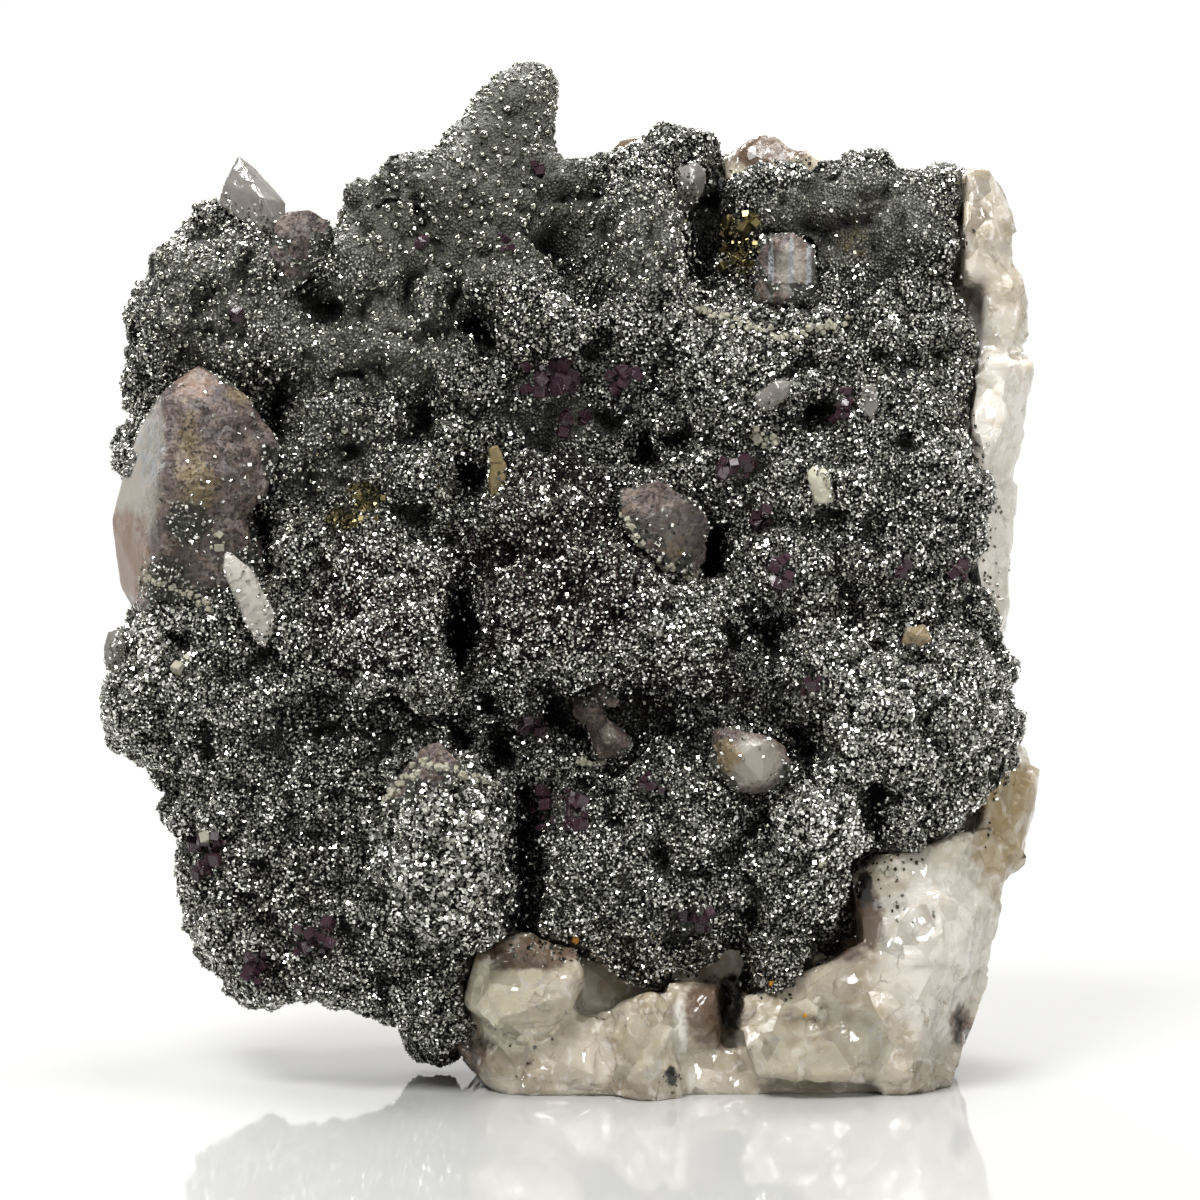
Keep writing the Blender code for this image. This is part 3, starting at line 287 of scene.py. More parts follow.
def seen(points):
    """Where the viewer sees these points, given in metres: x and z in millimetres."""
    x, depth, z = (np.asarray(points) / MM - FRAME_SHIFT).T
    stretch = 1.0 + depth / VIEW_DISTANCE
    return x / stretch, VIEW_HEIGHT + (z - VIEW_HEIGHT) / stretch


def placed(x, depth, z):
    """The point in metres that the viewer sees at x, z, at this depth from the middle plane."""
    stretch = 1.0 + depth / VIEW_DISTANCE
    point = np.array((x * stretch, depth, VIEW_HEIGHT + (z - VIEW_HEIGHT) * stretch))
    return Vector((point + FRAME_SHIFT) * MM)


def covered(points, zones):
    """How strongly each point lies in the zones, from 0 to 1."""
    x, z = seen(points)
    strongest = np.zeros(len(x))
    for middle_x, middle_z, half_width, half_height, strength in zones:
        away = ((x - middle_x) / half_width) ** 2 + ((z - middle_z) / half_height) ** 2
        strongest = np.maximum(strongest, strength * np.exp(-away ** 2))
    return strongest


def linear(colour):
    """The linear RGBA of an sRGB hex colour."""
    parts = [int(colour[start:start + 2], 16) / 255 for start in (1, 3, 5)]
    parts = [part / 12.92 if part <= 0.04045 else ((part + 0.055) / 1.055) ** 2.4 for part in parts]
    return (*parts, 1.0)


def per_mm(size):
    """The scale of a pattern whose features are this many millimetres across."""
    return 1.0 / (size * MM)


def add(tree, kind, inputs=None, **settings):
    """Add a node of this kind with its settings, and fill its inputs with values or other outputs."""
    made = tree.nodes.new(kind)
    for name, value in settings.items():
        setattr(made, name, value)
    for name, value in (inputs or {}).items():
        if isinstance(value, bpy.types.NodeSocket):
            tree.links.new(value, made.inputs[name])
        else:
            made.inputs[name].default_value = value
    return made


def vertices_of(mesh):
    """The vertices of a mesh, in metres."""
    points = np.zeros(len(mesh.vertices) * 3)
    mesh.vertices.foreach_get('co', points)
    return points.reshape(-1, 3)


def normals_of(mesh):
    """The vertex normals of a mesh."""
    found = np.zeros(len(mesh.vertices) * 3)
    mesh.vertices.foreach_get('normal', found)
    return found.reshape(-1, 3)


def set_vertices(mesh, points):
    """Move the vertices of a mesh to these points."""
    mesh.vertices.foreach_set('co', points.ravel())
    mesh.update()


def set_attribute(mesh, name, values):
    """Store a number for each vertex under this name."""
    attribute = mesh.attributes.new(name, 'FLOAT', 'POINT')
    attribute.data.foreach_set('value', values)


def add_object(name, mesh):
    """An object with this mesh, linked to the scene."""
    obj = bpy.data.objects.new(name, mesh)
    bpy.context.scene.collection.objects.link(obj)
    return obj


def baked(obj):
    """Give the object the mesh that its modifiers make, and drop them."""
    bpy.context.view_layer.update()
    evaluated = obj.evaluated_get(bpy.context.evaluated_depsgraph_get())
    mesh = bpy.data.meshes.new_from_object(evaluated)
    obj.modifiers.clear()
    obj.data = mesh
    mesh.name = obj.name
    return obj


def finish_piece(obj, replaced=()):
    """Let the piece stand on the root body, and hide the CAD nodes it stands for."""
    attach(obj, 'root')
    if replaced:
        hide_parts(*replaced)


def joined_copy(node, name):
    """A copy of a CAD node with its loose triangles joined."""
    bm = bmesh.new()
    bm.from_mesh(frame['nodes'][node].data)
    bmesh.ops.remove_doubles(bm, verts=bm.verts, dist=0.001 * MM)
    mesh = bpy.data.meshes.new(name)
    bm.to_mesh(mesh)
    bm.free()
    mesh.materials.clear()
    return add_object(name, mesh)


def even_copy(node, name, cell, soften):
    """A copy of a CAD node in even mesh cells of this width in metres, its edges a little rounded."""
    obj = joined_copy(node, name)
    remesh = obj.modifiers.new('Even', 'REMESH')
    remesh.mode = 'VOXEL'
    remesh.voxel_size = cell
    smooth = obj.modifiers.new('Soften', 'SMOOTH')
    smooth.factor = 0.5
    smooth.iterations = soften
    return baked(obj)


def shade(mesh, sharp_angle):
    """Shade a mesh smooth, with edges sharper than this many degrees kept crisp."""
    mesh.shade_smooth()
    mesh.set_sharp_from_angle(angle=math.radians(sharp_angle))


def facet_height(point, size, tilt, step):
    """Height of tilted, stepped facets of this size at a point in millimetres."""
    cell = noise.voronoi(point / size)[1][0]
    slope = noise.noise_vector(cell * 5.3)
    return tilt * slope.dot(point / size - cell) * size + step * slope.x


def knob_height(point, size, height):
    """Height of rounded knobs of this size at a point in millimetres."""
    nearest = noise.voronoi(point / size)[0][0]
    return height * (0.5 - 1.3 * nearest ** 2)


def druse_height(point):
    """Relief of the druse at a point in millimetres: knobs on knobs, and broken ground between them."""
    return (
        knob_height(point, 7.0, 1.7)
        + knob_height(point + Vector((7, 3, 1)), 3.4, 1.7)
        + knob_height(point + Vector((2, 9, 4)), 1.7, 0.8)
        + 0.4 * noise.noise(point / 1.1)
        - 0.4
    )


def quartz_height(point):
    """Relief of broken quartz at a point in millimetres: stepped facets, and a little waviness."""
    return facet_height(point, 6.5, 0.22, 0.5) + 0.25 * noise.noise(point / 2.2)


def crystal_height(point):
    """Relief of a dusty crystal face at a point in millimetres."""
    return (
        0.4 * noise.noise(point / 2.6)
        + facet_height(point, 2.4, 0.1, 0.12)
        + facet_height(point, 0.9, 0.2, 0.1)
        + 0.12 * noise.noise(point / 0.6)
    )


def fine_height(point):
    """Relief of a small clear crystal at a point in millimetres."""
    return 0.5 * facet_height(point, 0.9, 0.2, 0.1)


def plate_height(point):
    """Relief of the white plate and the cream grain in millimetres: a little fuller all round, and rough."""
    return 0.45 + facet_height(point, 0.9, 0.25, 0.15)


def back_height(point):
    """Coarser relief of the rough back at a point in millimetres, always inwards."""
    return min(0.0, facet_height(point, 9.0, 0.3, 1.1) + 0.7 * noise.noise(point / 4.0) - 0.9)


def raise_relief(mesh, height, share=None):
    """Move each vertex along its normal by a height in millimetres that depends on its place."""
    points = vertices_of(mesh)
    heights = np.array([height(Vector(point) / MM) for point in points])
    if share is not None:
        heights = heights * share
    set_vertices(mesh, points + normals_of(mesh) * heights[:, None] * MM)


def keep_inside(mesh):
    """Pull back what stands out of the CAD box."""
    low, high = (np.array(corner) for corner in CAD_BOX)
    slack = 0.008 * (high - low)
    slack_low = slack * (1, 1, 0)
    set_vertices(mesh, np.clip(vertices_of(mesh), low - slack_low, high + slack))


def tree_of(obj):
    """A search tree over the faces of an object, for nearest points and rays."""
    faces = [tuple(polygon.vertices) for polygon in obj.data.polygons]
    return BVHTree.FromPolygons(vertices_of(obj.data).tolist(), faces)


def clearance(points, others):
    """How far each point is from the nearest of the other objects, in millimetres."""
    nearest = np.full(len(points), 50.0)
    for other in others:
        tree = tree_of(other)
        found = [tree.find_nearest(point, 3 * MM)[3] for point in points]
        away = np.array([50.0 if distance is None else distance / MM for distance in found])
        nearest = np.minimum(nearest, away)
    return nearest


def pushed_in(points):
    """How far clefts and pits sink these points, in millimetres; less than nothing where lumps raise them."""
    x, z = seen(points)
    bends = np.array([noise.noise_vector(Vector(point) / (3.0 * MM)) for point in points])
    x = x + 1.5 * bends[:, 0]
    z = z + 1.5 * bends[:, 2]
    deepest = np.zeros(len(x))
    highest = np.zeros(len(x))
    for kept, spots in ((deepest, PITS), (highest, LUMPS)):
        for middle_x, middle_z, half_width, half_height, depth in spots:
            away = ((x - middle_x) / half_width) ** 2 + ((z - middle_z) / half_height) ** 2
            np.maximum(kept, depth / (1.0 + away ** 2), out=kept)
    return deepest - highest


def mould_front(mesh, behind, calm):
    """Sink clefts and raise lumps in the front of a mesh by this share, but not through to what lies behind."""
    points = vertices_of(mesh)
    tree = tree_of(behind)
    depths = pushed_in(points) * (normals_of(mesh)[:, 1] < 0.2) * calm
    for number in np.flatnonzero(depths > 0.2):
        room = tree.ray_cast(Vector(points[number]), (0.0, 1.0, 0.0))[3]
        most = 3.0 if room is None else max(0.0, room / MM - 1.0)
        depths[number] = min(depths[number], most)
    points[:, 1] += depths * MM
    set_vertices(mesh, points)


def hollowness(obj, rounds):
    """How far each vertex lies below the surface when that is smoothed this often, in millimetres."""
    points = vertices_of(obj.data)
    normals = normals_of(obj.data)
    smooth = obj.modifiers.new('Level', 'SMOOTH')
    smooth.factor = 0.5
    smooth.iterations = rounds
    bpy.context.view_layer.update()
    level = obj.evaluated_get(bpy.context.evaluated_depsgraph_get()).data
    away = vertices_of(level) - points
    obj.modifiers.clear()
    return (away * normals).sum(axis=1) / MM


# Finishes

def coordinates(tree):
    """Object coordinates, in metres."""
    return add(tree, 'ShaderNodeTexCoord').outputs['Object']


def surface(material):
    """The tree, the Principled shader and the object coordinates of a material."""
    material.use_nodes = True
    tree = material.node_tree
    return tree, tree.nodes['Principled BSDF'], coordinates(tree)


def blend(tree, share, first, second):
    """The first colour where the share is 0, the second where it is 1."""
    mix = add(tree, 'ShaderNodeMix', {0: share, 6: first, 7: second}, data_type='RGBA')
    return mix.outputs[2]


def uneven_share(tree, place, attribute, size, spread=0.9):
    """An attribute of the surface whose edge is broken up by noise of this size in millimetres."""
    held = add(tree, 'ShaderNodeAttribute', attribute_name=attribute)
    cloud = add(tree, 'ShaderNodeTexNoise', {'Vector': place, 'Scale': per_mm(size), 'Detail': 2.0})
    shift = add(tree, 'ShaderNodeMath', {0: cloud.outputs['Fac'], 1: 0.5}, operation='SUBTRACT')
    wide = add(tree, 'ShaderNodeMath', {0: shift.outputs[0], 1: spread}, operation='MULTIPLY')
    whole = add(tree, 'ShaderNodeMath', {0: held.outputs['Fac'], 1: wide.outputs[0]}, operation='ADD')
    return add(tree, 'ShaderNodeMapRange', {'Value': whole.outputs[0], 'From Min': 0.3, 'From Max': 0.65}).outputs[0]


def facet_bump(tree, place, size, tilt, strength=1.0):
    """A normal that breaks the surface into flat facets of this size in millimetres, each tilted its own way."""
    cells = add(tree, 'ShaderNodeTexVoronoi', {'Vector': place, 'Scale': per_mm(size)})
    slope = add(tree, 'ShaderNodeVectorMath', {0: cells.outputs['Color'], 1: (0.5, 0.5, 0.5)}, operation='SUBTRACT')
    reach = add(tree, 'ShaderNodeVectorMath', {0: place, 1: cells.outputs['Position']}, operation='SUBTRACT')
    height = add(tree, 'ShaderNodeVectorMath', {0: slope.outputs[0], 1: reach.outputs[0]}, operation='DOT_PRODUCT')
    lift = add(tree, 'ShaderNodeMath', {0: height.outputs['Value'], 1: tilt}, operation='MULTIPLY')
    bump = add(tree, 'ShaderNodeBump', {'Height': lift.outputs[0], 'Strength': strength, 'Distance': 1.0})
    return bump.outputs['Normal']


def between(tree, share, first, second):
    """The first number where the share is 0, the second where it is 1."""
    return add(tree, 'ShaderNodeMix', {0: share, 2: first, 3: second}, data_type='FLOAT').outputs[0]


def crack_lines(tree, place, size, width):
    """Broken crack lines that bend: 1 on a line, 0 off it. The size is millimetres, the width a share of it."""
    cloud = add(tree, 'ShaderNodeTexNoise', {'Vector': place, 'Scale': per_mm(3.0), 'Detail': 4.0})
    bend = add(tree, 'ShaderNodeVectorMath', {0: cloud.outputs['Color'], 'Scale': 4.0 * MM}, operation='SCALE')
    bent = add(tree, 'ShaderNodeVectorMath', {0: place, 1: bend.outputs[0]}, operation='ADD')
    cells = add(tree, 'ShaderNodeTexVoronoi', {'Vector': bent.outputs[0], 'Scale': per_mm(size)},
                feature='DISTANCE_TO_EDGE')
    line = add(tree, 'ShaderNodeMapRange', {'Value': cells.outputs['Distance'], 'From Min': width, 'From Max': 0.0})
    seen_share = add(tree, 'ShaderNodeMapRange', {'Value': cloud.outputs['Fac'], 'From Min': 0.5, 'From Max': 0.68})
    return add(tree, 'ShaderNodeMath', {0: line.outputs[0], 1: seen_share.outputs[0]}, operation='MULTIPLY').outputs[0]


def druse_ground():
    """Tarnished pyrite grown over with tiny crystal faces, matte at the top, with painted shade that darkens the gaps
    between the faces and the hollows.
    """
    material = bpy.data.materials.new('tarnished pyrite ground')
    tree, shader, place = surface(material)
    cloud = add(tree, 'ShaderNodeTexNoise', {'Vector': place, 'Scale': per_mm(1.6), 'Detail': 4.0})
    matte = blend(tree, cloud.outputs['Fac'], linear(DRUSE_DARK), linear(DRUSE_OLIVE))
    cells = add(tree, 'ShaderNodeTexVoronoi', {'Vector': place, 'Scale': per_mm(FACE_SIZE)})
    chance = add(tree, 'ShaderNodeSeparateColor', {0: cells.outputs['Color']})
    faces = blend(tree, chance.outputs[0], linear(PYRITE_DARK), linear(PYRITE_GREY))
    grown = add(tree, 'ShaderNodeAttribute', attribute_name='fine')
    share = add(tree, 'ShaderNodeMapRange', {'Value': grown.outputs['Fac'], 'From Min': 0.1, 'From Max': 0.5})
    share = share.outputs[0]
    colour = blend(tree, share, matte, faces)
    colour = blend(tree, uneven_share(tree, place, 'warm', 3.0), colour, linear(DRUSE_WARM))
    colour = blend(tree, uneven_share(tree, place, 'gold', 1.2), colour, linear(DRUSE_GOLD))
    # Painted shade: the gaps between the tiny faces are darkened towards near-black, half as much where the ground is
    # matte
    gap = add(tree, 'ShaderNodeMapRange', {'Value': cells.outputs['Distance'], 'From Min': 0.3, 'From Max': 0.55})
    painted_gap_shade = add(tree, 'ShaderNodeMath', {0: gap.outputs[0], 1: between(tree, share, 0.5, 1.0)},
                    operation='MULTIPLY')
    colour = blend(tree, painted_gap_shade.outputs[0], colour, linear(DRUSE_PAINTED_SHADE))
    # Painted shade: the ground darkens towards near-black the deeper it lies in a hollow
    hollow = add(tree, 'ShaderNodeAttribute', attribute_name='hollow')
    colour = blend(tree, hollow.outputs['Fac'], colour, linear(DRUSE_PAINTED_SHADE))
    bump = add(tree, 'ShaderNodeBump', {
        'Height': cells.outputs['Distance'], 'Strength': 1.0, 'Distance': 0.4 * MM,
        'Normal': facet_bump(tree, place, FACE_SIZE, 2.0, share),
    })
    tree.links.new(colour, shader.inputs['Base Color'])
    tree.links.new(between(tree, share, 0.3, 0.8), shader.inputs['Metallic'])
    tree.links.new(between(tree, share, 0.55, 0.34), shader.inputs['Roughness'])
    tree.links.new(bump.outputs['Normal'], shader.inputs['Normal'])
    return material


def pyrite_crystal():
    """Small untarnished pyrite crystals: pale brassy metal, from dull dark ones to bright mirrors; their tone carries
    painted shade, darker in hollows and lighter on ridges.
    """
    material = bpy.data.materials.new('pyrite crystal faces')
    tree, shader, place = surface(material)
    tone = add(tree, 'ShaderNodeAttribute', attribute_name='tone')
    lower = add(tree, 'ShaderNodeMapRange', {'Value': tone.outputs['Fac'], 'From Min': 0.0, 'From Max': 0.6})
    upper = add(tree, 'ShaderNodeMapRange', {'Value': tone.outputs['Fac'], 'From Min': 0.6, 'From Max': 1.1})
    colour = blend(tree, lower.outputs[0], linear(PYRITE_DARK), linear(PYRITE_GREY))
    colour = blend(tree, upper.outputs[0], colour, linear(PYRITE_BRIGHT))
    colour = blend(tree, uneven_share(tree, place, 'gold', 1.2), colour, linear(PYRITE_GOLD))
    tree.links.new(colour, shader.inputs['Base Color'])
    shader.inputs['Metallic'].default_value = 1.0
    shader.inputs['Roughness'].default_value = 0.2
    return material


def pyrite_bead():
    """Rounded pyrite beads: smooth grey-brown metal that mirrors the white table in its lower rim."""
    material = bpy.data.materials.new('pyrite beads, smooth')
    tree, shader, place = surface(material)
    shader.inputs['Base Color'].default_value = linear(BEAD_GREY)
    shader.inputs['Metallic'].default_value = 1.0
    shader.inputs['Roughness'].default_value = 0.12
    return material


def milky_quartz():
    """Broken milky quartz: glassy breaks over clouded, slightly yellow stone with brown stains and specks."""
    material = bpy.data.materials.new('milky quartz, broken')
    tree, shader, place = surface(material)
    veil = add(tree, 'ShaderNodeTexNoise', {'Vector': place, 'Scale': per_mm(6.0), 'Detail': 4.0, 'Distortion': 0.6})
    veil_share = add(tree, 'ShaderNodeMapRange', {'Value': veil.outputs['Fac'], 'From Min': 0.38, 'From Max': 0.62})
    colour = blend(tree, veil_share.outputs[0], linear(QUARTZ_PALE), linear(QUARTZ_WHITE))
    colour = blend(tree, uneven_share(tree, place, 'white', 3.0), colour, linear(QUARTZ_BRIGHT))
    clear = uneven_share(tree, place, 'clear', 2.5)
    colour = blend(tree, clear, colour, linear(QUARTZ_CLEAR))
    wisp = add(tree, 'ShaderNodeTexNoise', {'Vector': place, 'Scale': per_mm(3.0), 'Detail': 5.0, 'Distortion': 2.5})
    wisp_share = add(tree, 'ShaderNodeMapRange', {'Value': wisp.outputs['Fac'], 'From Min': 0.56, 'From Max': 0.7})
    colour = blend(tree, wisp_share.outputs[0], colour, linear(QUARTZ_BRIGHT))
    colour = blend(tree, crack_lines(tree, place, 4.5, 0.03), colour, linear(QUARTZ_VEIN))
    colour = blend(tree, uneven_share(tree, place, 'tan', 2.0), colour, linear(QUARTZ_TAN))
    colour = blend(tree, uneven_share(tree, place, 'brown', 1.2), colour, linear(QUARTZ_BROWN))
    # Near-black patches on the quartz base
    colour = blend(tree, uneven_share(tree, place, 'soot', 0.8), colour, linear(QUARTZ_DARK_PATCH))
    crack = add(tree, 'ShaderNodeTexNoise', {'Vector': place, 'Scale': per_mm(1.5), 'Detail': 5.0, 'Roughness': 0.6})
    bump = add(tree, 'ShaderNodeBump', {
        'Height': crack.outputs['Fac'], 'Strength': 0.5, 'Distance': 0.35 * MM,
        'Normal': facet_bump(tree, place, 3.2, 1.0),
    })
    rough = add(tree, 'ShaderNodeMapRange', {'Value': veil.outputs['Fac'], 'To Min': 0.1, 'To Max': 0.45})
    tree.links.new(colour, shader.inputs['Base Color'])
    tree.links.new(rough.outputs[0], shader.inputs['Roughness'])
    tree.links.new(bump.outputs['Normal'], shader.inputs['Normal'])
    tree.links.new(between(tree, clear, 0.2, 0.55), shader.inputs['Transmission Weight'])
    tree.links.new(facet_bump(tree, place, 1.3, 1.3), shader.inputs['Coat Normal'])
    shader.inputs['Coat Weight'].default_value = 0.8
    shader.inputs['Coat Roughness'].default_value = 0.05
    shader.inputs['IOR'].default_value = 1.544
    shader.inputs['Subsurface Weight'].default_value = 0.4
    shader.inputs['Subsurface Radius'].default_value = (1.0, 0.85, 0.65)
    shader.inputs['Subsurface Scale'].default_value = 2.5 * MM
    return material


def dusty_fluorite():
    """Fluorite under a film of dust: purple-brown glassy stone, clouded, with tan and pale zones."""
    material = bpy.data.materials.new('purple-brown fluorite, dusty')
    tree, shader, place = surface(material)
    cloud = add(tree, 'ShaderNodeTexNoise', {'Vector': place, 'Scale': per_mm(2.0), 'Detail': 7.0, 'Roughness': 0.65})
    share = add(tree, 'ShaderNodeMapRange', {'Value': cloud.outputs['Fac'], 'From Min': 0.35, 'From Max': 0.65})
    colour = blend(tree, share.outputs[0], linear(FLUORITE_PURPLE), linear(FLUORITE_BROWN))
    pale = uneven_share(tree, place, 'pale', 1.5, 0.5)
    colour = blend(tree, pale, colour, linear(FLUORITE_PALE))
    colour = blend(tree, uneven_share(tree, place, 'pink', 2.0), colour, linear(FLUORITE_PINK))
    colour = blend(tree, uneven_share(tree, place, 'streak', 1.0), colour, linear(FLUORITE_STREAK))
    colour = blend(tree, uneven_share(tree, place, 'tan', 1.2), colour, linear(FLUORITE_TAN))
    colour = blend(tree, uneven_share(tree, place, 'dust', 0.8), colour, linear(DRUSE_DARK))
    smooth = add(tree, 'ShaderNodeAttribute', attribute_name='smooth')
    rugged = add(tree, 'ShaderNodeMath', {0: 1.0, 1: smooth.outputs['Fac']}, operation='SUBTRACT').outputs[0]
    fine = add(tree, 'ShaderNodeTexNoise', {'Vector': place, 'Scale': per_mm(0.35), 'Detail': 3.0})
    dark = add(tree, 'ShaderNodeMapRange', {'Value': fine.outputs['Fac'], 'From Min': 0.5, 'From Max': 0.32})
    dark_share = add(tree, 'ShaderNodeMath', {0: dark.outputs[0], 1: rugged}, operation='MULTIPLY')
    colour = blend(tree, dark_share.outputs[0], colour, linear(FLUORITE_SHADE))
    grit = add(tree, 'ShaderNodeTexNoise', {'Vector': place, 'Scale': per_mm(0.5), 'Detail': 4.0})
    bump = add(tree, 'ShaderNodeBump', {
        'Height': grit.outputs['Fac'], 'Strength': rugged, 'Distance': 0.4 * MM,
        'Normal': facet_bump(tree, place, 0.8, 1.2, rugged),
    })
    dull = add(tree, 'ShaderNodeMapRange', {'Value': cloud.outputs['Fac'], 'To Min': 0.25, 'To Max': 0.6})
    tree.links.new(colour, shader.inputs['Base Color'])
    tree.links.new(between(tree, smooth.outputs['Fac'], dull.outputs[0], 0.12), shader.inputs['Roughness'])
    tree.links.new(bump.outputs['Normal'], shader.inputs['Normal'])
    shader.inputs['IOR'].default_value = 1.434
    shader.inputs['Transmission Weight'].default_value = 0.12
    shader.inputs['Subsurface Weight'].default_value = 0.2
    shader.inputs['Subsurface Radius'].default_value = (1.0, 0.8, 0.8)
    shader.inputs['Subsurface Scale'].default_value = 1.5 * MM
    return material


def stone(name, colour, roughness, ior, clearness, grain=1.0):
    """A small glassy or dull stone of one hue, with cloudiness of this grain in millimetres."""
    material = bpy.data.materials.new(name)
    tree, shader, place = surface(material)
    cloud = add(tree, 'ShaderNodeTexNoise', {'Vector': place, 'Scale': per_mm(grain), 'Detail': 5.0})
    darker = tuple(part * 0.55 for part in linear(colour)[:3]) + (1.0,)
    mixed = blend(tree, cloud.outputs['Fac'], darker, linear(colour))
    bump = add(tree, 'ShaderNodeBump', {'Height': cloud.outputs['Fac'], 'Strength': 0.4, 'Distance': 0.15 * MM})
    tree.links.new(mixed, shader.inputs['Base Color'])
    tree.links.new(bump.outputs['Normal'], shader.inputs['Normal'])
    shader.inputs['Roughness'].default_value = roughness
    shader.inputs['IOR'].default_value = ior
    shader.inputs['Transmission Weight'].default_value = clearness
    return material


def studio_paint():
    """Glossy white table top that mirrors at a low angle, and an evenly lit white sweep behind it."""
    material = bpy.data.materials.new('glossy white table')
    tree, shader, place = surface(material)
    material.cycles.emission_sampling = 'NONE'
    depth = add(tree, 'ShaderNodeSeparateXYZ', {0: place}).outputs['Y']
    share = add(tree, 'ShaderNodeMapRange', {'Value': depth, 'From Min': 0.1, 'From Max': 0.5})
    glow = add(tree, 'ShaderNodeEmission', {'Color': linear(SWEEP_WHITE), 'Strength': SWEEP_GLOW})
    mix = add(tree, 'ShaderNodeMixShader', {0: share.outputs[0], 1: shader.outputs[0], 2: glow.outputs[0]})
    tree.links.new(mix.outputs[0], tree.nodes['Material Output'].inputs['Surface'])
    shader.inputs['Base Color'].default_value = linear(TABLE_WHITE)
    shader.inputs['Roughness'].default_value = 0.06
    return material


# Grains

